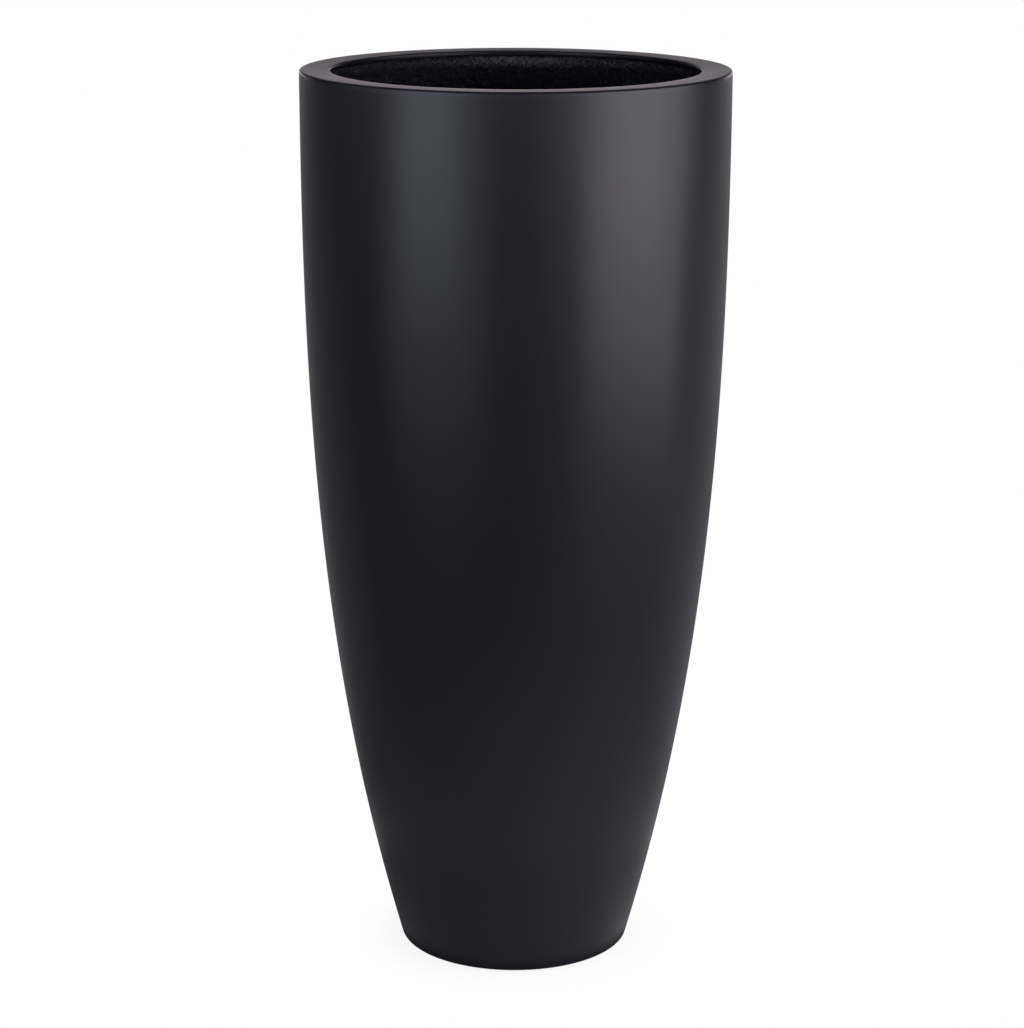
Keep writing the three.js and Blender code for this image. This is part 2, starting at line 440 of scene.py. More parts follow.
class TurningTree(PieceTree):
    """Bends a section to the wall's curve, turns it round the axis and roughens it.

    Attributes:
        MERGE: points closer than this are joined.
        LUMP_DETAIL: the number of finer layers in the lumps.
        LUMP_ROUGHNESS: how strong those layers are.
        TEAR_DETAIL: the number of finer layers in the torn edges.
        TEAR_ROUGHNESS: how strong those layers are.
        TEAR_SHIFT: what the seed gains for the tears, so that they don't follow the lumps.
        FULL_SWING: brings the noise, which strays by about a half at most, to the whole height.
    """

    NAME = "turned_piece"
    WHOLE = ("Steps Around", "Copies")
    FLOATS = ("Mouth Radius", "Foot Radius", "Top", "Foot", "Power", "Lump", "Lump Size", "Tear",
              "Tear Size", "Seed", "Crease Angle", "Circle Radius")
    MERGE = 1e-6
    LUMP_DETAIL = 3.0
    LUMP_ROUGHNESS = 0.6
    TEAR_DETAIL = 4.0
    TEAR_ROUGHNESS = 0.7
    TEAR_SHIFT = 7.0
    FULL_SWING = 2.0

    def _shape(self) -> Socket:
        """Turns, roughens and shades the piece, and sets out its copies."""
        return self._copy_round(self._shade(self._roughen(self._turn())))

    def _sampled(self, points: object, value: object, kind: str, index: object) -> Socket:
        """Reads a FLOAT or FLOAT_VECTOR value of the section's points at an index."""
        inputs = {"Geometry": points, "Value": value, "Index": index}
        return self.graph.link("GeometryNodeSampleIndex", inputs, data_type=kind, domain="POINT")

    def _named(self, name: str) -> Socket:
        """Reads a named number on the points."""
        return self.graph.link("GeometryNodeInputNamedAttribute", {"Name": name}, data_type="FLOAT")

    def _wall(self, across: object, height: object, on_wall: object) -> Socket:
        """The radius of a section's point once the section is bent to the wall's curve.

        Args:
            across: the point's distance from the wall's outer face, or from the axis.
            height: the point's height.
            on_wall: which of the two it is.

        Returns:
            The radius's output socket.
        """
        g = self.graph
        spread = g.minus(self.given["Mouth Radius"], self.given["Foot Radius"])
        tall = g.minus(self.given["Top"], self.given["Foot"])
        below = g.math("MAXIMUM", g.minus(self.given["Top"], height), 0.0)
        share = g.over(below, tall)
        drawn_in = g.times(spread, g.math("POWER", share, self.given["Power"]))
        radius = g.minus(self.given["Mouth Radius"], drawn_in)
        slope_power = g.math("POWER", share, g.minus(self.given["Power"], 1.0))
        rise = g.times(g.over(spread, tall), self.given["Power"])
        slope = g.times(rise, slope_power)
        lean = g.math("SQRT", g.plus(1.0, g.times(slope, slope)))
        stretch = g.plus(1.0, g.times(on_wall, g.minus(lean, 1.0)))
        return g.plus(g.times(across, stretch), g.times(on_wall, radius))

    def _turn(self) -> Socket:
        """Makes the closed surface that the section sweeps round the axis, with the point weights on it.

        Returns:
            The turned mesh.
        """
        g = self.graph
        section = self.given["Geometry"]
        count = g.link("GeometryNodeAttributeDomainSize", {0: section}, component="MESH")
        around = self.given["Steps Around"]
        columns = g.plus(around, 1)
        mesh = g.link("GeometryNodeMeshGrid", {"Vertices X": g.plus(count, 1), "Vertices Y": columns})
        index = g.link("GeometryNodeInputIndex")
        # Half a step more keeps the division from falling short of a whole row.
        row = g.math("FLOOR", g.over(g.plus(index, 0.5), columns))
        column = g.minus(index, g.times(row, columns))
        point = g.math("MODULO", row, count)
        place = g.link("GeometryNodeInputPosition")
        x, _, z = g.separate(self._sampled(section, place, "FLOAT_VECTOR", point))
        weights = {name: self._sampled(section, self._named(name), "FLOAT", point)
                   for name in POINT_WEIGHTS}
        radius = self._wall(x, z, weights["on_wall"])
        angle = g.times(g.over(column, around), math.tau)
        turned = g.combine(g.times(radius, g.math("COSINE", angle)),
                           g.times(radius, g.math("SINE", angle)), z)
        for name, value in weights.items():
            inputs = {"Geometry": mesh, "Name": name, "Value": value}
            mesh = g.link("GeometryNodeStoreNamedAttribute", inputs, data_type="FLOAT", domain="POINT")
        mesh = g.link("GeometryNodeSetPosition", {"Geometry": mesh, "Position": turned})
        return g.link("GeometryNodeMergeByDistance", {"Geometry": mesh, "Distance": self.MERGE})

    def _roughen(self, mesh: Socket) -> Socket:
        """Lifts the lumps of the rough faces and tears the ragged edges.

        Args:
            mesh: the turned mesh.

        Returns:
            The roughened mesh.
        """
        g = self.graph
        place = g.link("GeometryNodeInputPosition")
        normal = g.link("GeometryNodeInputNormal")
        seed = self.given["Seed"]
        lumps = g.noise(place, self.given["Lump Size"], self.LUMP_DETAIL, seed, self.LUMP_ROUGHNESS)
        lift = g.times(g.swing(lumps, self.given["Lump"]), self._named("rough"))
        lift = g.times(lift, self.FULL_SWING)
        tears = g.noise(place, self.given["Tear Size"], self.TEAR_DETAIL,
                        g.plus(seed, self.TEAR_SHIFT), self.TEAR_ROUGHNESS)
        tear = g.times(g.swing(tears, self.given["Tear"]), self.FULL_SWING)
        outward = g.vector("NORMALIZE", g.vector("MULTIPLY", place, (1.0, 1.0, 0.0)))
        out = g.vector("SCALE", outward, g.times(tear, self._named("ragged_out")))
        up = g.combine(0.0, 0.0, g.times(tear, self._named("ragged_up")))
        offset = g.vector("ADD", g.vector("ADD", out, up), g.vector("SCALE", normal, lift))
        bare = g.link("GeometryNodeSetPosition", {"Geometry": mesh, "Offset": offset})
        for name in POINT_WEIGHTS:
            bare = g.link("GeometryNodeRemoveAttribute", {"Geometry": bare, "Name": name})
        return bare

    def _shade(self, mesh: Socket) -> Socket:
        """Shades the faces smooth, apart from the creases.

        Args:
            mesh: the mesh to shade.

        Returns:
            The shaded mesh.
        """
        g = self.graph
        rounded_off = {"Geometry": mesh, "Shade Smooth": True}
        smooth = g.link("GeometryNodeSetShadeSmooth", rounded_off, domain="FACE")
        angle = g.link("GeometryNodeInputMeshEdgeAngle")
        sharp = g.link("FunctionNodeCompare", {0: angle, 1: self.given["Crease Angle"]},
                       data_type="FLOAT", operation="GREATER_THAN")
        creased = {"Geometry": smooth, "Selection": sharp, "Shade Smooth": False}
        return g.link("GeometryNodeSetShadeSmooth", creased, domain="EDGE")

    def _copy_round(self, mesh: Socket) -> Socket:
        """Sets copies of the piece evenly round a circle, half a step from the X axis.

        Args:
            mesh: the piece, about the axis.

        Returns:
            The instances: one at the axis where the circle has no radius.
        """
        g = self.graph
        copies = self.given["Copies"]
        line = g.link("GeometryNodeMeshLine", {"Count": copies}, mode="OFFSET")
        index = g.link("GeometryNodeInputIndex")
        turn = g.times(g.over(g.plus(index, 0.5), copies), math.tau)
        radius = self.given["Circle Radius"]
        place = g.combine(g.times(radius, g.math("COSINE", turn)),
                          g.times(radius, g.math("SINE", turn)), 0.0)
        points = g.link("GeometryNodeSetPosition", {"Geometry": line, "Position": place})
        return g.link("GeometryNodeInstanceOnPoints", {"Points": points, "Instance": mesh})


# ---- Glass strands ----


@dataclass(frozen=True)
class Strands:
    """How chopped glass strands lie on a raw laminate.

    Attributes:
        density: strands on each square metre, where they lie thickest.
        deep_share: the share of them that lies below the thick region.
        thick_above: the height above which they lie thickest.
        lowest: no strand's middle lies below this height.
        highest: no strand's middle lies above this height.
        length: the length of a strand.
        width: the width of a strand.
        thickness: the thickness of a strand.
        proud: how far a strand's middle line stands out of the resin.
        seed: picks the pattern.
    """

    density: float
    deep_share: float = 1.0
    thick_above: float = 0.0
    lowest: float = 0.0
    highest: float = 10.0
    length: float = 32 * MM
    width: float = 0.9 * MM
    thickness: float = 0.5 * MM
    proud: float = 0.05 * MM
    seed: int = 3


class StrandTree(PieceTree):
    """Scatters chopped glass strands over the inward faces of a piece.

    Attributes:
        POINTS_ALONG: the number of points along a strand.
        SIDES: the number of its sides.
        SHORTEST: the shortest strand, as a share of the longest.
        TIP: how thick a strand's ends are, as a share of its middle.
        FADE: the height over which the strands get as thick as they lie higher up.
        INWARD_AT_LEAST: a face takes strands where the cosine between it and the axis is above this.
        WAVER: how far a strand bends aside.
        WAVER_SIZE: the length of one bend.
    """

    NAME = "glass_strands"
    WHOLE = ("Seed",)
    FLOATS = ("Density", "Deep Share", "Thick Above", "Lowest", "Highest", "Length", "Width", "Thickness",
              "Proud")
    POINTS_ALONG = 7
    SIDES = 5
    SHORTEST = 0.45
    TIP = 0.25
    FADE = 0.12
    INWARD_AT_LEAST = 0.35
    WAVER = 5 * MM
    WAVER_SIZE = 22 * MM

    def _shape(self) -> Socket:
        """Scatters the strands, presses them onto the piece and makes them solid."""
        return self._thicken(self._settle(self._scatter()))

    def _inward(self) -> Socket:
        """The level direction from a point to the axis."""
        place = self.graph.link("GeometryNodeInputPosition")
        return self.graph.vector("NORMALIZE", self.graph.vector("MULTIPLY", place, (-1.0, -1.0, 0.0)))

    def _scatter(self) -> Socket:
        """Sets straight strands on the piece's inward faces, each turned at random.

        Returns:
            The straight strands.
        """
        g = self.graph
        _, _, z = g.separate(g.link("GeometryNodeInputPosition"))
        dot = g.vector("DOT_PRODUCT", g.link("GeometryNodeInputNormal"), self._inward()).node
        facing = g.math("GREATER_THAN", dot.outputs["Value"], self.INWARD_AT_LEAST)
        above = g.math("GREATER_THAN", z, self.given["Lowest"])
        below = g.math("LESS_THAN", z, self.given["Highest"])
        chosen = g.times(facing, g.times(above, below))
        start = g.minus(self.given["Thick Above"], self.FADE)
        rise = g.over(g.minus(z, start), self.FADE)
        rise = g.math("MINIMUM", g.math("MAXIMUM", rise, 0.0), 1.0)
        rest = g.minus(1.0, self.given["Deep Share"])
        share = g.plus(self.given["Deep Share"], g.times(rest, rise))
        points = g.link("GeometryNodeDistributePointsOnFaces", {
            "Mesh": self.given["Geometry"],
            "Selection": chosen,
            "Density": g.times(self.given["Density"], share),
            "Seed": self.given["Seed"],
        })
        normal = points.node.outputs["Normal"]
        turn = self._random(0.0, math.tau, self.given["Seed"])
        along = g.vector("NORMALIZE", g.vector("CROSS_PRODUCT", (0.0, 0.0, 1.0), normal))
        up = g.vector("CROSS_PRODUCT", normal, along)
        direction = g.vector("ADD", g.vector("SCALE", along, g.math("COSINE", turn)),
                             g.vector("SCALE", up, g.math("SINE", turn)))
        axes = g.link("FunctionNodeAxesToRotation", {0: normal, 1: direction},
                      primary_axis="Z", secondary_axis="X")
        line = g.link("GeometryNodeCurvePrimitiveLine", {"Start": (-0.5, 0.0, 0.0), "End": (0.5, 0.0, 0.0)},
                      mode="POINTS")
        strand = g.link("GeometryNodeResampleCurve", {"Curve": line, "Count": self.POINTS_ALONG})
        share = self._random(self.SHORTEST, 1.0, g.plus(self.given["Seed"], 1))
        length = g.times(self.given["Length"], share)
        instances = g.link("GeometryNodeInstanceOnPoints", {
            "Points": points,
            "Instance": strand,
            "Rotation": axes,
            "Scale": g.combine(length, 1.0, 1.0),
        })
        return g.link("GeometryNodeRealizeInstances", {0: instances})

    def _random(self, low: float, high: float, seed: Socket) -> Socket:
        """Draws a number between two for each point, and returns its output socket."""
        inputs = {2: low, 3: high, "Seed": seed}
        return self.graph.link("FunctionNodeRandomValue", inputs, data_type="FLOAT").node.outputs[1]

    def _settle(self, strands: Socket) -> Socket:
        """Bends the strands a little and presses them onto the piece.

        Args:
            strands: the straight strands.

        Returns:
            The settled strands.
        """
        g = self.graph
        place = g.link("GeometryNodeInputPosition")
        waves = {"Vector": place, "Scale": 1.0 / self.WAVER_SIZE, "Detail": 1.0}
        noise = g.link("ShaderNodeTexNoise", waves).node
        centred = g.vector("SUBTRACT", noise.outputs["Color"], (0.5, 0.5, 0.5))
        aside = g.vector("SCALE", centred, self.WAVER)
        bent = g.link("GeometryNodeSetPosition", {"Geometry": strands, "Offset": aside})
        nearest = g.link("GeometryNodeProximity", {0: self.given["Geometry"]}, target_element="FACES")
        onto = g.vector("ADD", nearest, g.vector("SCALE", self._inward(), self.given["Proud"]))
        return g.link("GeometryNodeSetPosition", {"Geometry": bent, "Position": onto})

    def _thicken(self, strands: Socket) -> Socket:
        """Gives the strands their flat section, tapered at both ends.

        Args:
            strands: the settled strands.

        Returns:
            The closed strands.
        """
        g = self.graph
        upright = g.link("GeometryNodeSetCurveNormal", {"Curve": strands, "Normal": self._inward()},
                         mode="FREE")
        along = g.link("GeometryNodeSplineParameter")
        # The arch rises from 0 at one end of a strand to 1 in its middle, and falls to 0 again.
        arch = g.times(g.times(along, g.minus(1.0, along)), 4.0)
        swell = g.times(1.0 - self.TIP, g.math("SQRT", arch))
        radius = g.plus(self.TIP, swell)
        sized = g.link("GeometryNodeSetCurveRadius", {"Curve": upright, "Radius": radius})
        ring = g.link("GeometryNodeCurvePrimitiveCircle", {"Resolution": self.SIDES, "Radius": 0.5},
                      mode="RADIUS")
        flat = g.combine(self.given["Thickness"], self.given["Width"], 1.0)
        profile = g.link("GeometryNodeTransform", {"Geometry": ring, "Scale": flat})
        swept = {"Curve": sized, "Profile Curve": profile, "Fill Caps": True}
        solid = g.link("GeometryNodeCurveToMesh", swept)
        if "Scale" in solid.node.inputs:
            g.feed(solid.node.inputs["Scale"], g.link("GeometryNodeInputRadius"))
        smooth = {"Geometry": solid, "Shade Smooth": True}
        return g.link("GeometryNodeSetShadeSmooth", smooth, domain="FACE")


# ---- Finishes ----


class Canvas(Graph):
    """A material's node tree, with its shader and the place on the object.

    Attributes:
        surface: the Principled shader.
        place: the object coordinates.
    """

    def __init__(self, material: bpy.types.Material) -> None:
        """Clears a material and gives it a Principled shader.

        Args:
            material: the material.
        """
        super().__init__(emptied(material))
        self.surface = self.node("ShaderNodeBsdfPrincipled")
        self.place = self.node("ShaderNodeTexCoord").outputs["Object"]
        self.feed(self.node("ShaderNodeOutputMaterial").inputs["Surface"], self.surface.outputs[0])

    def grain(self, size: float, detail: float, seed: float) -> Socket:
        """Adds a noise of 0.5 on average over the object, whose grains have a real size."""
        return self.noise(self.place, size, detail, seed)

    def relief(self, *layers: tuple[Socket, float]) -> None:
        """Bumps the surface by real heights.

        Args:
            layers: each pattern's output socket with the height that it gives.
        """
        height = reduce(self.plus, (self.times(pattern, depth) for pattern, depth in layers))
        bump = self.link("ShaderNodeBump", {"Strength": 1.0, "Distance": 1.0, "Height": height})
        self.feed(self.surface.inputs["Normal"], bump)


@dataclass(frozen=True)
class Finish:
    """A finish with its own grain. Each kind adds its own colour, roughness and relief.

    Attributes:
        name: the material's name.
        colour: the mean base colour, linear.
        roughness: the mean roughness.
        specular: the specular level.
    """

    name: str
    colour: tuple[float, float, float]
    roughness: float
    specular: float

    def make(self) -> bpy.types.Material:
        """Builds the material.

        Returns:
            The material, ready for a mesh.
        """
        material = bpy.data.materials.new(self.name)
        canvas = Canvas(material)
        canvas.surface.inputs["Specular IOR Level"].default_value = self.specular
        self.dress(canvas)
        return material

    def dress(self, canvas: Canvas) -> None:
        """Links the finish's own detail."""
        raise NotImplementedError

    def tint(self, canvas: Canvas, amount: Socket, strength: float) -> None:
        """Adds a share of the colour for each whole step of an amount of 0.5 on average."""
        level = canvas.plus(1.0, canvas.swing(amount, strength))
        canvas.feed(canvas.surface.inputs["Base Color"], canvas.vector("SCALE", self.colour, level))

    def vary_roughness(self, canvas: Canvas, amount: Socket, strength: float) -> None:
        """Adds to the roughness for each whole step of an amount of 0.5 on average."""
        level = canvas.plus(self.roughness, canvas.swing(amount, strength))
        canvas.feed(canvas.surface.inputs["Roughness"], level)


@dataclass(frozen=True)
class MattPaint(Finish):
    """Sprayed matt paint: faint orange peel, a fine matting grain and soft clouds from the spray gun.

    Attributes:
        peel_size: the width of one dimple of the orange peel.
        peel_depth: its depth.
        grain_size: the width of one grain of the matting agent.
        grain_depth: its height.
        grain_tint: the share of the colour that a step of the grain adds.
        cloud_size: the width of one cloud.
        cloud_tint: the share of the colour that a step of the clouds adds.
        cloud_roughness: the roughness that a step of the clouds adds.
    """

    peel_size: float = 2.4 * MM
    peel_depth: float = 0.014 * MM
    grain_size: float = 0.5 * MM
    grain_depth: float = 0.003 * MM
    grain_tint: float = 0.25
    cloud_size: float = 75 * MM
    cloud_tint: float = 0.14
    cloud_roughness: float = 0.05

    def dress(self, canvas: Canvas) -> None:
        """Links the clouds, the grain and the orange peel.

        Args:
            canvas: the material's node tree.
        """
        clouds = canvas.grain(self.cloud_size, detail=3.0, seed=2.0)
        grain = canvas.grain(self.grain_size, detail=1.0, seed=5.0)
        peel = canvas.grain(self.peel_size, detail=2.0, seed=8.0)
        mixed = canvas.plus(canvas.swing(grain, self.grain_tint / self.cloud_tint), clouds)
        self.tint(canvas, mixed, self.cloud_tint)
        self.vary_roughness(canvas, clouds, self.cloud_roughness)
        canvas.relief((peel, self.peel_depth), (grain, self.grain_depth))


@dataclass(frozen=True)
class RawLaminate(Finish):
    """Black resin over chopped glass: strands crossing under the surface, pores and small glossy pools.

    Attributes:
        strand_width: the width of one strand of the mat.
        strand_length: its length.
        strand_depth: how far it stands out.
        strand_from: the level of the noise above which a strand begins to stand out.
        strand_full: the level at which it stands out fully.
        lean_angles: the angles that the strands make with the axis, in degrees.
        wall_radius: the radius at which those angles hold.
        pool_size: the width of one pool of resin.
        pool_roughness: the roughness that a step of the pools adds.
        grit_size: the width of one grain of the grit.
        grit_depth: its height.
        grit_from: the level of the noise where a grain begins to look pale.
        grit_full: the level where it is palest.
        tint_strength: the share of the colour that a whole step of strands and grit adds.
        patch_size: the width of one patch of paler glass.
        patch_strength: the share of the colour by which the patches differ from the mean.
        patch_seed: picks the pattern of the patches.
        patch_from: the level of the noise where the glass shows least.
        patch_full: the level where it shows most.
        fade_low: the height below which the painted band of light under the lip has faded out.
        fade_high: the height above which the colour is full, as painted light that falls under the lip, or
            0 where there is no such band.
        fade_share: the share of the colour that is left below the painted band of light.
        wander_size: the width of one wave of the painted band's lower edge.
        wander_reach: how far that edge wanders up and down.
    """

    strand_width: float = 1.6 * MM
    strand_length: float = 26 * MM
    strand_depth: float = 0.35 * MM
    strand_from: float = 0.50
    strand_full: float = 0.72
    lean_angles: tuple[float, ...] = (0.0, 38.0, -38.0, 68.0, -68.0)
    wall_radius: float = 200 * MM
    pool_size: float = 11 * MM
    pool_roughness: float = 0.35
    grit_size: float = 0.8 * MM
    grit_depth: float = 0.08 * MM
    grit_from: float = 0.35
    grit_full: float = 0.65
    tint_strength: float = 1.2
    patch_size: float = 130 * MM
    patch_strength: float = 0.0
    patch_seed: float = 0.0
    patch_from: float = 0.42
    patch_full: float = 0.72
    fade_low: float = 0.0
    fade_high: float = 0.0
    fade_share: float = 1.0
    wander_size: float = 5 * MM
    wander_reach: float = 8 * MM

    def _strands(self, canvas: Canvas, lean: float, seed: float) -> Socket:
        """The height of the strands that lean one way.

        Args:
            canvas: the material's node tree.
            lean: the angle between the strands and the axis, in degrees.
            seed: shifts the pattern.

        Returns:
            The height's output socket, from 0 to 1.
        """
        angle = math.radians(lean)
        x, y, z = canvas.separate(canvas.place)
        twist = canvas.times(z, -math.tan(angle) / self.wall_radius)
        sine = canvas.math("SINE", twist)
        cosine = canvas.math("COSINE", twist)
        across_x = canvas.minus(canvas.times(x, cosine), canvas.times(y, sine))
        across_y = canvas.plus(canvas.times(x, sine), canvas.times(y, cosine))
        squeeze = self.strand_width / self.strand_length / math.cos(angle) ** 2
        spread = canvas.combine(across_x, across_y, canvas.times(z, squeeze))
        noise = canvas.noise(spread, self.strand_width / math.cos(angle), detail=1.0, seed=seed)
        return canvas.remap(noise, self.strand_from, self.strand_full)

    def _cover(self, canvas: Canvas) -> object:
        """How pale the glass shows: in patches, and, as painted light, full only in the band under the lip
        where light falls and darker below it.

        Args:
            canvas: the material's node tree.

        Returns:
            The factor on the colour, an output socket or 1.
        """
        cover = 1.0
        if self.patch_strength:
            patches = canvas.grain(self.patch_size, detail=1.0, seed=self.patch_seed)
            cover = canvas.remap(patches, self.patch_from, self.patch_full,
                                 1.0 - self.patch_strength, 1.0 + self.patch_strength)
        # Painted light: the colour is full in the band just under the lip, where light falls, and darker
        # below it.
        if self.fade_high:
            _, _, z = canvas.separate(canvas.place)
            waves = canvas.grain(self.wander_size, detail=2.0, seed=3.0)
            height = canvas.plus(z, canvas.swing(waves, self.wander_reach))
            faded = canvas.remap(height, self.fade_low, self.fade_high, self.fade_share, 1.0)
            cover = canvas.times(cover, faded)
        return cover

    def dress(self, canvas: Canvas) -> None:
        """Links the strands, the pools and the grit.

        Args:
            canvas: the material's node tree.
        """
        strands = None
        for number, lean in enumerate(self.lean_angles):
            layer = self._strands(canvas, lean, seed=11.0 + 3.0 * number)
            strands = layer if strands is None else canvas.math("MAXIMUM", strands, layer)
        pools = canvas.grain(self.pool_size, detail=2.0, seed=4.0)
        grit = canvas.grain(self.grit_size, detail=1.0, seed=6.0)
        pale = canvas.remap(grit, self.grit_from, self.grit_full)
        mixed = canvas.times(canvas.plus(strands, pale), 0.5)
        level = canvas.plus(1.0, canvas.swing(mixed, self.tint_strength))
        level = canvas.times(level, self._cover(canvas))
        canvas.feed(canvas.surface.inputs["Base Color"], canvas.vector("SCALE", self.colour, level))
        self.vary_roughness(canvas, pools, self.pool_roughness)
        canvas.relief((strands, self.strand_depth), (grit, self.grit_depth))


@dataclass(frozen=True)
class ResinTopcoat(Finish):
    """Black resin brushed over the floor inside: brush marks round the middle, pinholes and dust.

    Attributes:
        brush_width: the width of one brush mark.
        brush_depth: its depth.
        brush_stretch: how much longer than wide it is.
        pinhole_size: the spacing of the pinholes.
        pinhole_depth: their depth.
        pinhole_flat: the radius of a hole's flat bottom, as a share of the spacing.
        pinhole_rim: the radius of its rim, as a share of the spacing.
        swell_size: the width of one wave of the surface.
        swell_depth: its height.
        swell_tint: the share of the colour that a step of the waves adds.
        swell_roughness: the roughness that a step of the waves adds.
    """

    brush_width: float = 2.2 * MM
    brush_depth: float = 0.10 * MM
    brush_stretch: float = 14.0
    pinhole_size: float = 9 * MM
    pinhole_depth: float = 0.30 * MM
    pinhole_flat: float = 0.03
    pinhole_rim: float = 0.09
    swell_size: float = 30 * MM
    swell_depth: float = 0.35 * MM
    swell_tint: float = 0.8
    swell_roughness: float = 0.3

    def dress(self, canvas: Canvas) -> None:
        """Links the brush marks, the pinholes and the swell.

        Args:
            canvas: the material's node tree.
        """
        x, y, z = canvas.separate(canvas.place)
        drawn = canvas.combine(canvas.over(x, self.brush_stretch), y, z)
        brushed = canvas.noise(drawn, self.brush_width, detail=2.0, seed=3.0)
        cells = {"Vector": canvas.place, "Scale": 1.0 / self.pinhole_size}
        nearest = canvas.link("ShaderNodeTexVoronoi", cells)
        holes = canvas.remap(nearest, self.pinhole_flat, self.pinhole_rim)
        swell = canvas.grain(self.swell_size, detail=2.0, seed=9.0)
        self.tint(canvas, swell, self.swell_tint)
        self.vary_roughness(canvas, swell, self.swell_roughness)
        canvas.relief((brushed, self.brush_depth), (holes, self.pinhole_depth), (swell, self.swell_depth))


@dataclass(frozen=True)
class TrowelledPutty(Finish):
    """Grey filled putty: trowel ripples and sanded grains.

    Attributes:
        ripple_size: the width of one ripple.
        ripple_depth: its depth.
        ripple_roughness: the roughness that a step of the ripples adds.
        grain_size: the width of one grain of the filler.
        grain_depth: its height.
        grain_tint: the share of the colour that a step of the grains adds.
    """

    ripple_size: float = 9 * MM
    ripple_depth: float = 0.25 * MM
    ripple_roughness: float = 0.2
    grain_size: float = 0.7 * MM
    grain_depth: float = 0.04 * MM
    grain_tint: float = 0.5

    def dress(self, canvas: Canvas) -> None:
        """Links the ripples and the grains.

        Args:
            canvas: the material's node tree.
        """
        ripples = canvas.grain(self.ripple_size, detail=2.0, seed=1.0)
        grains = canvas.grain(self.grain_size, detail=2.0, seed=2.0)
        self.tint(canvas, grains, self.grain_tint)
        self.vary_roughness(canvas, ripples, self.ripple_roughness)
        canvas.relief((ripples, self.ripple_depth), (grains, self.grain_depth))


@dataclass(frozen=True)
class MouldedRubber(Finish):
    """Black moulded rubber: a fine spark grain and a trace of grey bloom.

    Attributes:
        grain_size: the width of one grain.
        grain_depth: its depth.
        bloom_size: the width of one patch of bloom.
        bloom_tint: the share of the colour that a step of the bloom adds.
        bloom_roughness: the roughness that a step of the bloom adds.
    """

    grain_size: float = 0.35 * MM
    grain_depth: float = 0.02 * MM
    bloom_size: float = 12 * MM
    bloom_tint: float = 1.2
    bloom_roughness: float = 0.25

    def dress(self, canvas: Canvas) -> None:
        """Links the grain and the bloom.

        Args:
            canvas: the material's node tree.
        """
        grain = canvas.grain(self.grain_size, detail=2.0, seed=1.0)
        bloom = canvas.grain(self.bloom_size, detail=3.0, seed=2.0)
        self.tint(canvas, bloom, self.bloom_tint)
        self.vary_roughness(canvas, bloom, self.bloom_roughness)
        canvas.relief((grain, self.grain_depth))


# ---- Outlines ----


@dataclass(frozen=True)
class Corner:
    """One corner of a section's outline.

    Attributes:
        at: the corner's place and weights.
        radius: how round it is.
        step: the largest spacing of points on the straight stretch that follows.
    """

    at: Point
    radius: float = 0.0
    step: float = 6 * MM

    def points(self, before: Point, after: Point, steps: int = 5) -> list[Point]:
        """The corner's own points: one, or those along its rounding.

        Args:
            before: the corner before it.
            after: the corner after it.
            steps: the number of steps along a rounding.

        Returns:
            The points, with the corner's weights.
        """
        if not self.radius:
            return [self.at]
        here = Vector((self.at.across, self.at.height))
        back = (Vector((before.across, before.height)) - here).normalized()
        ahead = (Vector((after.across, after.height)) - here).normalized()
        half = back.angle(ahead) / 2
        reach = self.radius / math.tan(half)
        centre = here + (back + ahead).normalized() * self.radius / math.sin(half)
        start = here + back * reach - centre
        turn = math.pi - 2 * half
        if back.x * ahead.y - back.y * ahead.x > 0:
            turn = -turn
        made = []
        for i in range(steps + 1):
            angle = turn * i / steps
            cosine, sine = math.cos(angle), math.sin(angle)
            made.append(replace(self.at, across=centre.x + start.x * cosine - start.y * sine,
                                height=centre.y + start.x * sine + start.y * cosine))
        return made


def outline(corners: list[Corner]) -> list[Point]:
    """The closed section through some corners.

    Args:
        corners: the corners, in order round the section.

    Returns:
        The section's points. A stretch is divided only where both its ends are on the wall, or neither.
    """
    count = len(corners)
    rounds = [corner.points(corners[i - 1].at, corners[(i + 1) % count].at)
              for i, corner in enumerate(corners)]
    section = []
    for i, corner in enumerate(corners):
        ours, theirs = rounds[i], rounds[(i + 1) % count]
        section.extend(ours[:-1])
        alike = ours[-1].on_wall == theirs[0].on_wall
        section.extend(straight(ours[-1], theirs[0], corner.step) if alike else ours[-1:])
    return section


# ---- Sub-assemblies ----


def fit_out(piece: bpy.types.Object, slot: Slot, *nodes: str, body: Body = Body.PLANTER) -> None:
    """Tells the frame where a finished piece belongs, and logs it.

    Args:
        piece: the finished piece.
        slot: the material slot of its finish. Not used.
        nodes: the nodes that it stands for.
        body: the body that it rides on.
    """
    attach(piece, body.value)
    if nodes:
        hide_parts(*nodes)
    LOG.info("%s: %d faces on %s", piece.name, len(piece.data.polygons), body.value)


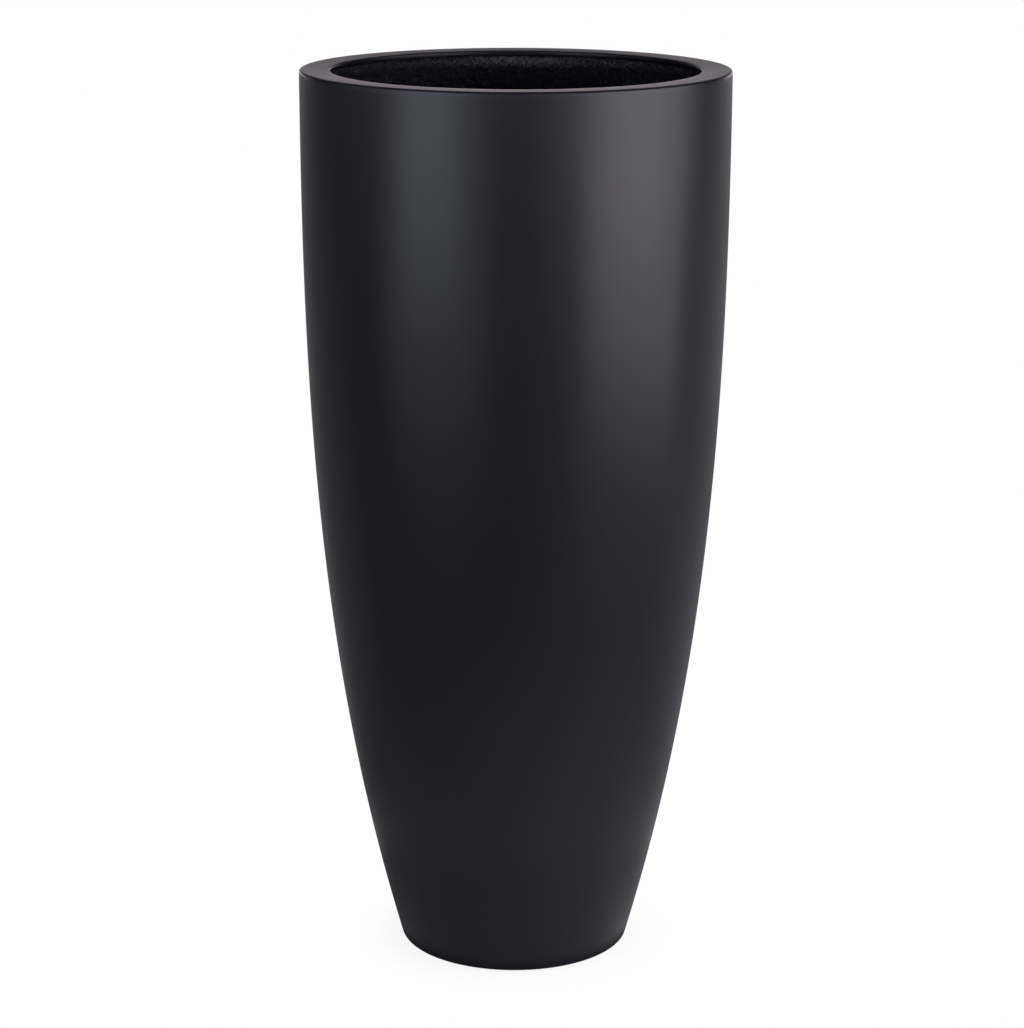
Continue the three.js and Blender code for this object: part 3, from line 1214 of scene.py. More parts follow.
@dataclass
class Workshop:
    """What every sub-assembly needs to make its pieces.

    Attributes:
        wall: the curve that the wall follows.
        turning: the tree that turns the sections.
        scattering: the tree that lays the glass strands.
        crease: edges sharper than this stay sharp, in degrees.
    """

    wall: WallRule
    turning: TurningTree
    scattering: StrandTree
    crease: float = 32.0

    def turn(self, name: str, section: list[Point], around: int, material: bpy.types.Material,
             texture: Texture = Texture(), copies: int = 1, circle: float = 0.0) -> bpy.types.Object:
        """Makes a turned piece from its section.

        Args:
            name: the piece's name.
            section: the closed section's points, in order.
            around: the number of steps round the axis.
            material: the piece's material.
            texture: how rough and torn it is.
            copies: the number of copies.
            circle: the radius of the circle that the copies stand on.

        Returns:
            The finished piece.
        """
        mesh = bpy.data.meshes.new(name + "_section")
        mesh.from_pydata([(p.across, 0.0, p.height) for p in section], [], [])
        for weight in POINT_WEIGHTS:
            values = mesh.attributes.new(weight, "FLOAT", "POINT")
            values.data.foreach_set("value", [getattr(p, weight) for p in section])
        return self.turning.run(name, mesh, {
            **inputs_of(self.wall),
            **inputs_of(texture),
            "Steps Around": around,
            "Copies": copies,
            "Crease Angle": math.radians(self.crease),
            "Circle Radius": circle,
            "Material": material,
        })

    def strew(self, name: str, piece: bpy.types.Object, laid: Strands,
              material: bpy.types.Material) -> None:
        """Makes the glass strands that lie on a piece, and tells the frame where they belong.

        Args:
            name: the name of all the strands together.
            piece: the piece that they lie on.
            laid: how they lie.
            material: their material.
        """
        inputs = {**inputs_of(laid), "Material": material}
        fit_out(self.scattering.run(name, piece.data.copy(), inputs), Slot.LAMINATE)


@dataclass
class Shell:
    """The wall and the closed bottom: a painted gelcoat skin, and the raw laminate inside it.

    Attributes:
        shop: makes the pieces.
        paint: the finish outside.
        laminate: the finish inside.
        thickness: the wall's thickness.
        bottom_thickness: the bottom's thickness.
        skin: the thickness of the painted skin.
        skin_gap: the gap between the skin and the laminate.
        bond_gap: the gap that stands for the resin between bonded pieces.
        lip_thickness: the lip's thickness.
        foot_corner: how round the corner under the wall is.
        band_width: the width of the foot band.
        recess: the depth of the recess inside the foot band.
        draft: how far the recess narrows upwards.
        drain_radius: the radius of the drain hole.
        band_edge: how round the foot band's inner edge is.
        recess_edge: how round the recess's corner is.
        smooth_top: how far under the lip the strands begin. The lumps begin half way there.
        top_ramp: the height over which the lumps grow there.
        rough_ramp: the height over which they die away above the floor tape.
        tape_top: how high the floor tape covers the wall.
        thick_reach: how far under the lip the strands lie thickest.
        near_reach: how far under the lip the camera sees the laminate well.
        far_reach: how far under the lip it sees it at all.
        near_step: the spacing of points that far.
        middle_step: the spacing of points further down.
        deep_step: the spacing of points below that.
        outer_step: the spacing of points up the outside.
        hidden_step: the spacing of points on hidden faces.
        skin_around: the number of steps round the skin.
        laminate_around: the number of steps round the laminate.
        texture: the laminate's lumps.
    """

    shop: Workshop
    paint: Finish
    laminate: Finish
    thickness: float = 5 * MM
    bottom_thickness: float = 6 * MM
    skin: float = 1.2 * MM
    skin_gap: float = 0.05 * MM
    bond_gap: float = 0.3 * MM
    lip_thickness: float = 6 * MM
    foot_corner: float = 5 * MM
    band_width: float = 22 * MM
    recess: float = 8 * MM
    draft: float = 2 * MM
    drain_radius: float = 12.5 * MM
    band_edge: float = 1.5 * MM
    recess_edge: float = 2.5 * MM
    smooth_top: float = 24 * MM
    top_ramp: float = 5 * MM
    rough_ramp: float = 12 * MM
    tape_top: float = 60 * MM
    thick_reach: float = 60 * MM
    near_reach: float = 100 * MM
    far_reach: float = 400 * MM
    near_step: float = 1.6 * MM
    middle_step: float = 5 * MM
    deep_step: float = 8 * MM
    outer_step: float = 9 * MM
    hidden_step: float = 22 * MM
    skin_around: int = 288
    laminate_around: int = 352
    texture: Texture = Texture(lump=0.75 * MM, lump_size=13 * MM, seed=2.0)

    @property
    def wall_top(self) -> float:
        """The height of the wall's top edge, under the lip."""
        return self.shop.wall.top - self.lip_thickness - self.bond_gap

    @property
    def ceiling(self) -> float:
        """The height of the ceiling of the recess under the bottom."""
        return self.shop.wall.foot + self.recess

    @property
    def band_inner(self) -> float:
        """The inner radius of the foot band."""
        return self.shop.wall.foot_radius - self.foot_corner - self.band_width

    @property
    def bottom_top(self) -> float:
        """The height of the bottom's inner face."""
        return self.ceiling + self.bottom_thickness

    def _foot_arc(self, inset: float) -> list[Point]:
        """The rounded corner under the wall, at some depth inside the outer face.

        Args:
            inset: the depth.

        Returns:
            Points from the foot band up to the wall.
        """
        wall = self.shop.wall
        lean = math.atan((wall.mouth_radius - wall.foot_radius) / (wall.top - wall.foot) * wall.power)
        touch = wall.foot + self.foot_corner * (1 - math.sin(lean))
        across = wall.outer(touch) - self.foot_corner * math.cos(lean)
        centre = Point(across, wall.foot + self.foot_corner)
        return rounded(centre, self.foot_corner - inset, -90, -math.degrees(lean), steps=8)

    def _outer_side(self, inset: float, step: float) -> list[Corner]:
        """The outline from the drain hole, under the foot and up the wall, at some depth.

        Args:
            inset: the depth inside the outer face.
            step: the spacing of points up the wall.

        Returns:
            The corners.
        """
        foot = self.shop.wall.foot
        # The first point that follows the wall's curve lies a little above the rounded corner.
        start = foot + 2 * self.foot_corner
        return [
            Corner(Point(self.drain_radius, self.ceiling + inset)),
            Corner(Point(self.band_inner - self.draft + inset, self.ceiling + inset), self.recess_edge),
            Corner(Point(self.band_inner + inset, foot + inset), self.band_edge),
            *(Corner(point, step=math.inf) for point in self._foot_arc(inset)),
            Corner(Point(-inset, start, on_wall=1), step=step),
            Corner(Point(-inset, self.wall_top, on_wall=1)),
        ]

    def skin_section(self) -> list[Point]:
        """Draws the painted skin.

        Returns:
            The closed section's points.
        """
        outside = self._outer_side(0.0, self.outer_step)
        inside = self._outer_side(self.skin, self.hidden_step)
        inside = [Corner(c.at, c.radius, self.hidden_step) for c in reversed(inside)]
        return outline([*outside, *inside])

    def laminate_section(self) -> list[Point]:
        """Draws the laminate inside the skin.

        Returns:
            The closed section's points.
        """
        outside = self._outer_side(self.skin + self.skin_gap, self.hidden_step)
        deep = -self.thickness
        smooth_end = self.wall_top - self.smooth_top / 2
        channel = self.shop.wall.foot + self.bottom_thickness
        channel_inner = self.band_inner + self.bottom_thickness
        inside = [
            Corner(Point(deep, self.wall_top, on_wall=1)),
            Corner(Point(deep, smooth_end, on_wall=1), step=self.near_step),
            Corner(Point(deep, smooth_end - self.top_ramp, on_wall=1, rough=1), step=self.near_step),
            Corner(Point(deep, self.wall_top - self.near_reach, on_wall=1, rough=1), step=self.middle_step),
            Corner(Point(deep, self.wall_top - self.far_reach, on_wall=1, rough=1), step=self.deep_step),
            Corner(Point(deep, self.tape_top + self.rough_ramp, on_wall=1, rough=1), step=self.middle_step),
            Corner(Point(deep, self.tape_top, on_wall=1), step=self.hidden_step),
            Corner(Point(deep, channel, on_wall=1)),
            Corner(Point(channel_inner, channel)),
            Corner(Point(channel_inner - self.draft, self.bottom_top)),
            Corner(Point(self.drain_radius, self.bottom_top)),
        ]
        return outline([*outside, *inside])

    def build(self) -> None:
        """Makes the skin, the laminate and the strands on it."""
        skin = self.shop.turn("shell_skin", self.skin_section(), self.skin_around, self.paint.make())
        fit_out(skin, Slot.PAINT, "shell")
        raw = self.laminate.make()
        laminate = self.shop.turn("shell_laminate", self.laminate_section(), self.laminate_around, raw,
                                  self.texture)
        fit_out(laminate, Slot.LAMINATE, "shell")
        laid = Strands(density=5200, deep_share=0.35, thick_above=self.wall_top - self.thick_reach,
                       lowest=self.tape_top + self.rough_ramp, highest=self.wall_top - self.smooth_top)
        self.shop.strew("shell_strands", laminate, laid, raw)


@dataclass
class Lip:
    """The flat lip, and the glass tape in the corner under it.

    Attributes:
        shop: makes the pieces.
        shell: the shell that carries the lip.
        paint: the lip's finish.
        tape_finish: the tape's finish.
        glass: the finish of the glass strands that stand out of it.
        width: the lip's width.
        dip: how far its upper face falls towards the mouth.
        outer_edge: how round its outer edge is.
        inner_edge: how round its edges at the mouth are.
        top_rough: the share of the waviness that the upper edge at the mouth takes.
        face_step: the spacing of points across its faces.
        tape_drop: how far down the wall the tape reaches.
        tape_reach: how far under the lip it reaches.
        tape_margin: how much further the lip's underside stays flat.
        tape_thickness: its thickness.
        tape_cove: how round its hollow corner is.
        taper: the height over which it thins towards its lower edge.
        feather: how thick that edge still is.
        feather_rough: the share of the lumps that the edge takes.
        ring_around: the number of steps round the lip.
        tape_around: the number of steps round the tape.
        texture: the lip's waviness.
        tape_texture: the tape's lumps and torn edges.
    """

    shop: Workshop
    shell: Shell
    paint: Finish
    tape_finish: Finish
    glass: Finish
    width: float = 30 * MM
    dip: float = 0.5 * MM
    outer_edge: float = 1.8 * MM
    inner_edge: float = 1.3 * MM
    top_rough: float = 0.6
    face_step: float = 4 * MM
    tape_drop: float = 14 * MM
    tape_reach: float = 14 * MM
    tape_margin: float = 1 * MM
    tape_thickness: float = 2.5 * MM
    tape_cove: float = 4 * MM
    taper: float = 8 * MM
    feather: float = 0.5 * MM
    feather_rough: float = 0.4
    ring_around: int = 320
    tape_around: int = 840
    texture: Texture = Texture(lump=0.10 * MM, lump_size=70 * MM, seed=12.0)
    tape_texture: Texture = Texture(lump=0.8 * MM, lump_size=5 * MM, tear=1.2 * MM, tear_size=6 * MM,
                                    seed=5.0)

    def ring_section(self) -> list[Point]:
        """Draws the lip. Its foot laps down to the wall's top edge, so that the paint runs on.

        Returns:
            The closed section's points.
        """
        wall = self.shop.wall
        top = wall.top
        mouth = wall.mouth_radius - self.width
        low = top - self.shell.lip_thickness
        return outline([
            Corner(Point(wall.outer(self.shell.wall_top), self.shell.wall_top), step=math.inf),
            Corner(Point(wall.outer(top), top), self.outer_edge, self.face_step),
            Corner(Point(mouth, top - self.dip, rough=self.top_rough), self.inner_edge),
            Corner(Point(mouth, low - self.dip, rough=1), self.inner_edge, self.face_step),
            Corner(Point(wall.outer(low) - self.shell.thickness - self.tape_reach - self.tape_margin, low)),
            Corner(Point(wall.outer(low) - self.shell.skin, low)),
            Corner(Point(wall.outer(low) - self.shell.skin, self.shell.wall_top)),
        ])

    def tape_section(self) -> list[Point]:
        """Draws the tape: an L with a hollow corner.

        Returns:
            The closed section's points.
        """
        ceiling = self.shell.wall_top
        under = ceiling - self.tape_thickness
        low = ceiling - self.tape_drop
        back = -(self.shell.thickness + self.shell.bond_gap)
        face = back - self.tape_thickness
        tip = back - self.tape_reach
        return outline([
            Corner(Point(back, low, on_wall=1, ragged_up=1)),
            Corner(Point(back, ceiling, on_wall=1)),
            Corner(Point(tip, ceiling, on_wall=1, ragged_out=1)),
            Corner(Point(tip, under, on_wall=1, rough=1, ragged_out=1), radius=1 * MM, step=2 * MM),
            Corner(Point(face, under, on_wall=1, rough=1), self.tape_cove, step=1.5 * MM),
            Corner(Point(face, low + self.taper, on_wall=1, rough=1), radius=2 * MM, step=1.2 * MM),
            Corner(Point(back - self.feather, low, on_wall=1, rough=self.feather_rough, ragged_up=1),
                   step=math.inf),
        ])

    def build(self) -> None:
        """Makes the lip, the tape and the strands on it."""
        ring = self.shop.turn("lip_ring_painted", self.ring_section(), self.ring_around, self.paint.make(),
                              self.texture)
        fit_out(ring, Slot.PAINT, "lip_ring")
        tape = self.shop.turn("lip_tape_laid", self.tape_section(), self.tape_around,
                              self.tape_finish.make(), self.tape_texture)
        fit_out(tape, Slot.LAMINATE, "lip_tape")
        laid = Strands(density=26000, length=9 * MM, width=0.8 * MM, seed=9)
        self.shop.strew("lip_tape_strands", tape, laid, self.glass.make())


@dataclass
class Floor:
    """What closes the foot inside: the putty ring, the stiff plate and the tape round it.

    Attributes:
        shop: makes the pieces.
        shell: the shell that carries them.
        topcoat: the plate's finish.
        tape_finish: the tape's finish.
        putty: the putty's finish.
        plate_thickness: the plate's thickness.
        sump_depth: the depth of the well round the drain hole.
        sump_radius: the well's radius.
        sump_ramp: the width round the well over which the plate's waves die away.
        tape_rise: how far up the wall the tape reaches.
        tape_reach: how far over the plate it reaches.
        tape_cove: how round its hollow corner is.
        tape_thickness: its thickness.
        plate_around: the number of steps round the plate.
        tape_around: the number of steps round the tape.
        texture: the plate's waves.
        tape_texture: the tape's lumps and torn edges.
    """

    shop: Workshop
    shell: Shell
    topcoat: Finish
    tape_finish: Finish
    putty: Finish
    plate_thickness: float = 12 * MM
    sump_depth: float = 5 * MM
    sump_radius: float = 21.5 * MM
    sump_ramp: float = 4 * MM
    tape_rise: float = 34 * MM
    tape_reach: float = 26 * MM
    tape_cove: float = 16 * MM
    tape_thickness: float = 2.5 * MM
    plate_around: int = 192
    tape_around: int = 320
    texture: Texture = Texture(lump=0.35 * MM, lump_size=22 * MM, seed=21.0)
    tape_texture: Texture = Texture(lump=0.9 * MM, lump_size=9 * MM, tear=4 * MM, tear_size=14 * MM,
                                    seed=31.0)

    @property
    def plate_top(self) -> float:
        """The height of the plate's top."""
        return self.shell.bottom_top + self.shell.bond_gap + self.plate_thickness

    @property
    def sump_floor(self) -> float:
        """The height of the floor of the well that takes the plug's head."""
        return self.plate_top - self.sump_depth

    def plate_section(self) -> list[Point]:
        """Draws the plate, with the well round the drain hole.

        Returns:
            The closed section's points.
        """
        back = -(self.shell.thickness + self.shell.bond_gap)
        low = self.shell.bottom_top + self.shell.bond_gap
        drain = self.shell.drain_radius
        wall = self.shop.wall
        rim = wall.inner(self.plate_top, self.shell.thickness) - self.shell.bond_gap
        return outline([
            Corner(Point(drain, low), step=20 * MM),
            Corner(Point(wall.inner(low, -back), low)),
            Corner(Point(rim, self.plate_top), step=3 * MM),
            Corner(Point(rim - self.tape_reach, self.plate_top, rough=1), step=3 * MM),
            Corner(Point(self.sump_radius + self.sump_ramp, self.plate_top, rough=1), step=1 * MM),
            Corner(Point(self.sump_radius, self.plate_top), radius=1.2 * MM, step=1 * MM),
            Corner(Point(self.sump_radius, self.sump_floor), radius=1 * MM, step=2 * MM),
            Corner(Point(drain, self.sump_floor), radius=0.8 * MM, step=4 * MM),
        ])

    def tape_section(self) -> list[Point]:
        """Draws the tape between the plate and the wall.

        Returns:
            The closed section's points.
        """
        back = -(self.shell.thickness + self.shell.bond_gap)
        face = back - self.tape_thickness
        low = self.plate_top + self.shell.bond_gap
        high = low + self.tape_rise
        wall = self.shop.wall
        over = low + self.tape_thickness
        inner = wall.outer(low) + back - self.tape_reach - wall.outer(over)
        return outline([
            Corner(Point(inner, low, on_wall=1, ragged_out=1)),
            Corner(Point(back, low, on_wall=1)),
            Corner(Point(back, high, on_wall=1, ragged_up=1)),
            Corner(Point(face, high - self.tape_thickness, on_wall=1, rough=1, ragged_up=1),
                   radius=1 * MM, step=2.5 * MM),
            Corner(Point(face, over, on_wall=1, rough=1), self.tape_cove, step=2.5 * MM),
            Corner(Point(inner + self.tape_thickness, over, on_wall=1, rough=1, ragged_out=1),
                   radius=1 * MM, step=2 * MM),
        ])

    def build(self) -> None:
        """Makes the plate, the tape and its strands, and gives the putty its finish."""
        plate = self.shop.turn("base_plate_coated", self.plate_section(), self.plate_around,
                               self.topcoat.make(), self.texture)
        fit_out(plate, Slot.LAMINATE, "base_plate")
        resin = self.tape_finish.make()
        tape = self.shop.turn("base_tape_laid", self.tape_section(), self.tape_around, resin,
                              self.tape_texture)
        fit_out(tape, Slot.LAMINATE, "base_tape")
        laid = Strands(density=9000, length=24 * MM, seed=17)
        self.shop.strew("base_tape_strands", tape, laid, resin)
        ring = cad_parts["foot_putty_ring"]
        ring.data.materials.clear()
        ring.data.materials.append(self.putty.make())
        LOG.info("foot_putty_ring keeps its own solid, in putty")


@dataclass
class DrainPlug:
    """The rubber plug: a ribbed stem, a beaded head in the well and a knob to pull it by.

    Attributes:
        shop: makes the piece.
        floor: the floor that the plug closes.
        rubber: its finish.
        stem_radius: the radius of the stem in the drain hole.
        tip_length: how far the stem reaches below the bottom.
        tip_taper: how much the tip narrows.
        tip_rim: the width of the rim round the dimple in its end.
        tip_slope: the width of the dimple's sloping side.
        head_radius: the radius of the head in the well.
        head_thickness: its thickness.
        bead_width: the width of the bead round the head.
        bead_slope: the width of its sloping side.
        bead_height: how far it stands up.
        neck_radius: the neck's radius.
        neck_height: the neck's height.
        knob_radius: the knob's radius.
        knob_height: its height.
        knob_edge: the height of its rounded edges.
        rib_count: the number of sealing ribs.
        rib_height: how far a rib stands out.
        rib_width: half the width of a rib.
        dimple_depth: the depth of the dimples in the plug's two ends.
        around: the number of steps round the plug.
    """

    shop: Workshop
    floor: Floor
    rubber: Finish
    stem_radius: float = 12.1 * MM
    tip_length: float = 4 * MM
    tip_taper: float = 2 * MM
    tip_rim: float = 1.5 * MM
    tip_slope: float = 1 * MM
    head_radius: float = 20 * MM
    head_thickness: float = 4 * MM
    bead_width: float = 3.2 * MM
    bead_slope: float = 1.2 * MM
    bead_height: float = 0.7 * MM
    neck_radius: float = 5 * MM
    neck_height: float = 8 * MM
    knob_radius: float = 8.5 * MM
    knob_height: float = 8 * MM
    knob_edge: float = 1.5 * MM
    rib_count: int = 3
    rib_height: float = 0.25 * MM
    rib_width: float = 1.6 * MM
    dimple_depth: float = 0.8 * MM
    around: int = 96

    def section(self) -> list[Point]:
        """Draws the plug, from the tip up to the knob.

        Returns:
            The closed section's points.
        """
        shell = self.floor.shell
        low = shell.ceiling - self.tip_length
        under = self.floor.sump_floor + shell.bond_gap
        top = under + self.head_thickness
        knob_low = top + self.neck_height
        knob_top = knob_low + self.knob_height
        stem = self.stem_radius
        tip = stem - self.tip_taper
        dimple = tip - self.tip_rim - self.tip_slope
        bead = self.head_radius - self.bead_width
        hollow = top - self.bead_height
        corners = [
            Corner(Point(0.0, low + self.dimple_depth), step=1.5 * MM),
            Corner(Point(dimple, low + self.dimple_depth), radius=0.4 * MM),
            Corner(Point(tip - self.tip_rim, low), radius=0.4 * MM),
            Corner(Point(tip, low), radius=0.8 * MM),
            Corner(Point(stem, low + self.tip_length), radius=2 * MM),
        ]
        pitch = (under - shell.ceiling) / (self.rib_count + 1)
        for number in range(self.rib_count):
            middle = shell.ceiling + (number + 1) * pitch
            corners += [
                Corner(Point(stem, middle - self.rib_width), radius=0.3 * MM),
                Corner(Point(stem + self.rib_height, middle), radius=0.5 * MM),
                Corner(Point(stem, middle + self.rib_width), radius=0.3 * MM),
            ]
        corners += [
            Corner(Point(stem, under), radius=0.4 * MM),
            Corner(Point(self.head_radius, under), radius=0.8 * MM),
            Corner(Point(self.head_radius, top), radius=1.6 * MM),
            Corner(Point(bead, top), radius=0.6 * MM),
            Corner(Point(bead - self.bead_slope, hollow), radius=0.6 * MM),
            Corner(Point(self.neck_radius, hollow), radius=2 * MM, step=2 * MM),
            Corner(Point(self.neck_radius, knob_low), radius=1.5 * MM),
            Corner(Point(self.knob_radius, knob_low + self.knob_edge), radius=1.4 * MM),
            Corner(Point(self.knob_radius, knob_top - self.knob_edge), radius=2.2 * MM),
            Corner(Point(self.neck_radius, knob_top), radius=1.2 * MM, step=1.5 * MM),
            Corner(Point(0.0, knob_top - self.dimple_depth), step=math.inf),
        ]
        return outline(corners)

    def build(self) -> None:
        """Makes the plug."""
        plug = self.shop.turn("drain_plug_moulded", self.section(), self.around, self.rubber.make())
        fit_out(plug, Slot.RUBBER, "drain_plug", body=Body.PLUG)


@dataclass
class FootPads:
    """The rubber pads under the foot band.

    Attributes:
        shop: makes the piece.
        shell: the shell that stands on them.
        rubber: their finish.
        count: the number of pads.
        radius: a pad's radius.
        height: its height.
        edge: how round its lower edge is.
        groove_radius: the radius of the groove in its underside.
        groove_width: the groove's width.
        groove_depth: the groove's depth.
        around: the number of steps round a pad.
    """

    shop: Workshop
    shell: Shell
    rubber: Finish
    count: int = 4
    radius: float = 8 * MM
    height: float = 3 * MM
    edge: float = 0.9 * MM
    groove_radius: float = 5.2 * MM
    groove_width: float = 1.2 * MM
    groove_depth: float = 0.6 * MM
    around: int = 48

    def section(self) -> list[Point]:
        """Draws a pad, with a round groove in the face that stands on the floor.

        Returns:
            The closed section's points.
        """
        half = self.groove_width / 2
        return outline([
            Corner(Point(0.0, 0.0), step=2 * MM),
            Corner(Point(self.groove_radius - half, 0.0), radius=0.2 * MM),
            Corner(Point(self.groove_radius, self.groove_depth), radius=0.3 * MM),
            Corner(Point(self.groove_radius + half, 0.0), radius=0.2 * MM),
            Corner(Point(self.radius, 0.0), self.edge),
            Corner(Point(self.radius, self.height), radius=0.4 * MM),
            Corner(Point(0.0, self.height), step=math.inf),
        ])

    def build(self) -> None:
        """Makes the pads."""
        circle = self.shell.band_inner + self.shell.band_width / 2
        pads = self.shop.turn("foot_pads", self.section(), self.around, self.rubber.make(),
                              copies=self.count, circle=circle)
        names = [f"foot_pad_{number + 1}" for number in range(self.count)]
        fit_out(pads, Slot.RUBBER, *names)


# ---- Studio ----


@dataclass(frozen=True)
class Softbox:
    """A tall soft light that stands on the floor and faces the planter.

    Attributes:
        name: its name.
        azimuth: degrees from the camera's side, towards +X.
        low: the height of its lower edge.
        width: its width.
        level: the brightness of its face.
        colour: its colour.
        high: the height of its upper edge.
        distance: metres from the axis.
    """

    name: str
    azimuth: float
    low: float
    width: float
    level: float
    colour: tuple[float, float, float]
    high: float = 1.3
    distance: float = 2.1

    def build(self) -> None:
        """Makes the light."""
        light = bpy.data.lights.new(self.name, "AREA")
        light.shape = "RECTANGLE"
        light.size = self.width
        light.size_y = self.high - self.low
        light.energy = self.level * math.pi * light.size * light.size_y
        light.color = self.colour
        lamp = put_in(self.name, light)
        turn = math.radians(self.azimuth)
        lamp.location = (self.distance * math.sin(turn), -self.distance * math.cos(turn),
                         (self.low + self.high) / 2)
        lamp.rotation_euler = (math.pi / 2, 0.0, turn)
        lamp.visible_camera = False


@dataclass(frozen=True)
class TopLight:
    """A soft spotlight over the planter, whose round beam takes in little more than the mouth.

    Attributes:
        height: metres above the floor.
        beam_height: the height at which the beam's radius is given.
        beam_radius: the beam's radius there.
        blend: the share of the beam over which its edge fades.
        lamp_radius: the radius of the lamp's face.
        level: the light that falls there, where 1 shows a colour as it is written.
    """

    height: float = 3.0
    beam_height: float = 0.9
    beam_radius: float = 0.26
    blend: float = 0.3
    lamp_radius: float = 0.12
    level: float = 1.0

    def build(self) -> None:
        """Makes the light."""
        drop = self.height - self.beam_height
        light = bpy.data.lights.new("top_light", "SPOT")
        light.spot_size = 2 * math.atan(self.beam_radius / drop)
        light.spot_blend = self.blend
        light.shadow_soft_size = self.lamp_radius
        light.energy = self.level * 4 * math.pi ** 2 * drop ** 2
        lamp = put_in("top_light", light)
        lamp.location = (0.0, 0.0, self.height)
        lamp.visible_camera = False
        lamp.visible_glossy = False


@dataclass(frozen=True)
class Studio:
    """A white sweep behind the planter, a dim room in front of it, a pale floor and soft lights.

    Attributes:
        softboxes: the lights round the planter.
        top_light: the light over it.
        back_level: how bright the sweep behind the planter is, up to a little above eye level.
        back_colour: its tint.
        back_from: where the sweep begins, as the world direction's share towards +Y.
        back_to: where it is fully bright.
        right_gain: how much brighter the sweep and the floor get towards +X.
        front_level: how bright the room in front of the planter is, up to the same height.
        side_level: how bright the room is at both sides.
        front_colour: the tint of the front and the sides.
        front_from: where the front begins to dim, as the world direction's share towards +Y.
        front_to: where the sides begin.
        high_level: how bright the room is above that.
        high_from: where the room begins to darken upwards, as the world direction's share of +Z.
        high_to: where it has darkened.
        dome_level: how bright the ceiling is, which lights the lip and the inside.
        dome_from: where the ceiling begins, as the world direction's share of +Z.
        dome_to: where it is fully bright.
        floor_size: the floor's side.
        floor_drop: how far it lies under the pads.
        floor_colour: how pale it is.
        floor_tint: the tint of its glow in reflections.
        floor_level: the glow of the floor far from the planter, which keeps it pale in reflections.
        floor_from: the radius where that glow begins.
        floor_to: the radius where it is full.
        spot_level: the glow of the floor close to the planter.
        spot_near: the radius within which the floor has that glow.
        spot_far: the radius where it has faded.
        behind_near: the glow of the floor behind the planter on the left, up to behind_from.
        behind_far: the same from behind_to on, and far behind on the right.
        behind_right: the glow of the nearer floor behind the planter on the right.
        behind_from: the distance at which the glow behind on the left starts to grow.
        behind_to: the distance at which it has grown.
        behind_turn: the directions between which the floor behind begins, as their share towards +Y.
        middle_turn: the directions between which left turns into right, as their share towards +X.
        contact_near: the radius within which the foot shades the floor.
        contact_far: the radius where that shade ends.
        paper_level: how bright white paper on the floor beside the planter would look.
        shadow_share: how strongly the planter's shadow shows at the foot.
        shadow_near: the radius up to which it shows that strongly.
        shadow_far: the radius where it has faded.
    """

    softboxes: tuple[Softbox, ...]
    top_light: TopLight = TopLight()
    back_level: float = 1.85
    back_colour: tuple[float, float, float] = (1.0, 0.88, 0.95)
    back_from: float = 0.77
    back_to: float = 0.87
    right_gain: float = 0.5
    front_level: float = 1.1
    side_level: float = 0.02
    front_colour: tuple[float, float, float] = (0.96, 0.97, 1.12)
    front_from: float = -0.3
    front_to: float = 0.5
    high_level: float = 0.02
    high_from: float = 0.07
    high_to: float = 0.13
    dome_level: float = 0.12
    dome_from: float = 0.35
    dome_to: float = 0.60
    floor_size: float = 24.0
    floor_drop: float = 0.3 * MM
    floor_colour: float = 0.4
    floor_tint: tuple[float, float, float, float] = (0.99, 0.98, 1.07, 1.0)
    floor_level: float = 0.16
    floor_from: float = 2.0
    floor_to: float = 3.0
    spot_level: float = 0.23
    spot_near: float = 0.45
    spot_far: float = 1.0
    behind_near: float = 0.09
    behind_far: float = 0.20
    behind_right: float = 0.12
    behind_from: float = 0.35
    behind_to: float = 0.9
    behind_turn: tuple[float, float] = (-0.4, 0.3)
    middle_turn: tuple[float, float] = (-0.1, 0.1)
    contact_near: float = 0.120
    contact_far: float = 0.135
    paper_level: float = 0.45
    shadow_share: float = 0.25
    shadow_near: float = 0.11
    shadow_far: float = 0.17

    def build(self) -> None:
        """Makes the room, the floor and the lights."""
        self._room()
        self._floor()
        for softbox in self.softboxes:
            softbox.build()
        self.top_light.build()

    def _room(self) -> None:
        """Makes the world: white to the camera, and otherwise the room that lights the planter."""
        world = bpy.data.worlds.new("studio_room")
        bpy.context.scene.world = world
        g = Graph(emptied(world))
        x, y, z = g.separate(g.node("ShaderNodeTexCoord").outputs["Generated"])
        high = g.remap(z, self.high_from, self.high_to, 1.0, 0.0)
        front = g.remap(y, self.front_from, self.front_to, self.front_level, self.side_level)
        back = g.remap(y, self.back_from, self.back_to, 0.0, self.back_level)
        back = g.times(back, g.plus(1.0, g.times(x, self.right_gain)))
        dome = g.remap(z, self.dome_from, self.dome_to, self.high_level, self.dome_level)
        front = g.plus(g.times(front, high), dome)
        colour = g.vector("ADD", g.vector("SCALE", self.front_colour, front),
                          g.vector("SCALE", self.back_colour, g.times(back, high)))
        lit = g.link("ShaderNodeBackground", {"Color": colour})
        white = g.link("ShaderNodeBackground", {"Color": (1.0, 1.0, 1.0, 1.0)})
        self._to_camera(g, white, lit, "ShaderNodeOutputWorld")

    def _sum(self, g: Graph, glow: Socket, paint: object,
             tint: tuple[float, float, float, float] = (1.0, 1.0, 1.0, 1.0)) -> Socket:
        """Makes a shader that glows, and takes light and shadow.

        Args:
            g: the material's node tree.
            glow: how strongly it glows.
            paint: how pale it is to the light that falls on it.
            tint: the colour of its glow.

        Returns:
            The shader's output socket.
        """
        lit = g.link("ShaderNodeBsdfDiffuse", {"Color": g.combine(paint, paint, paint)})
        glowing = g.link("ShaderNodeEmission", {"Color": tint, "Strength": glow})
        return g.link("ShaderNodeAddShader", {0: lit, 1: glowing})

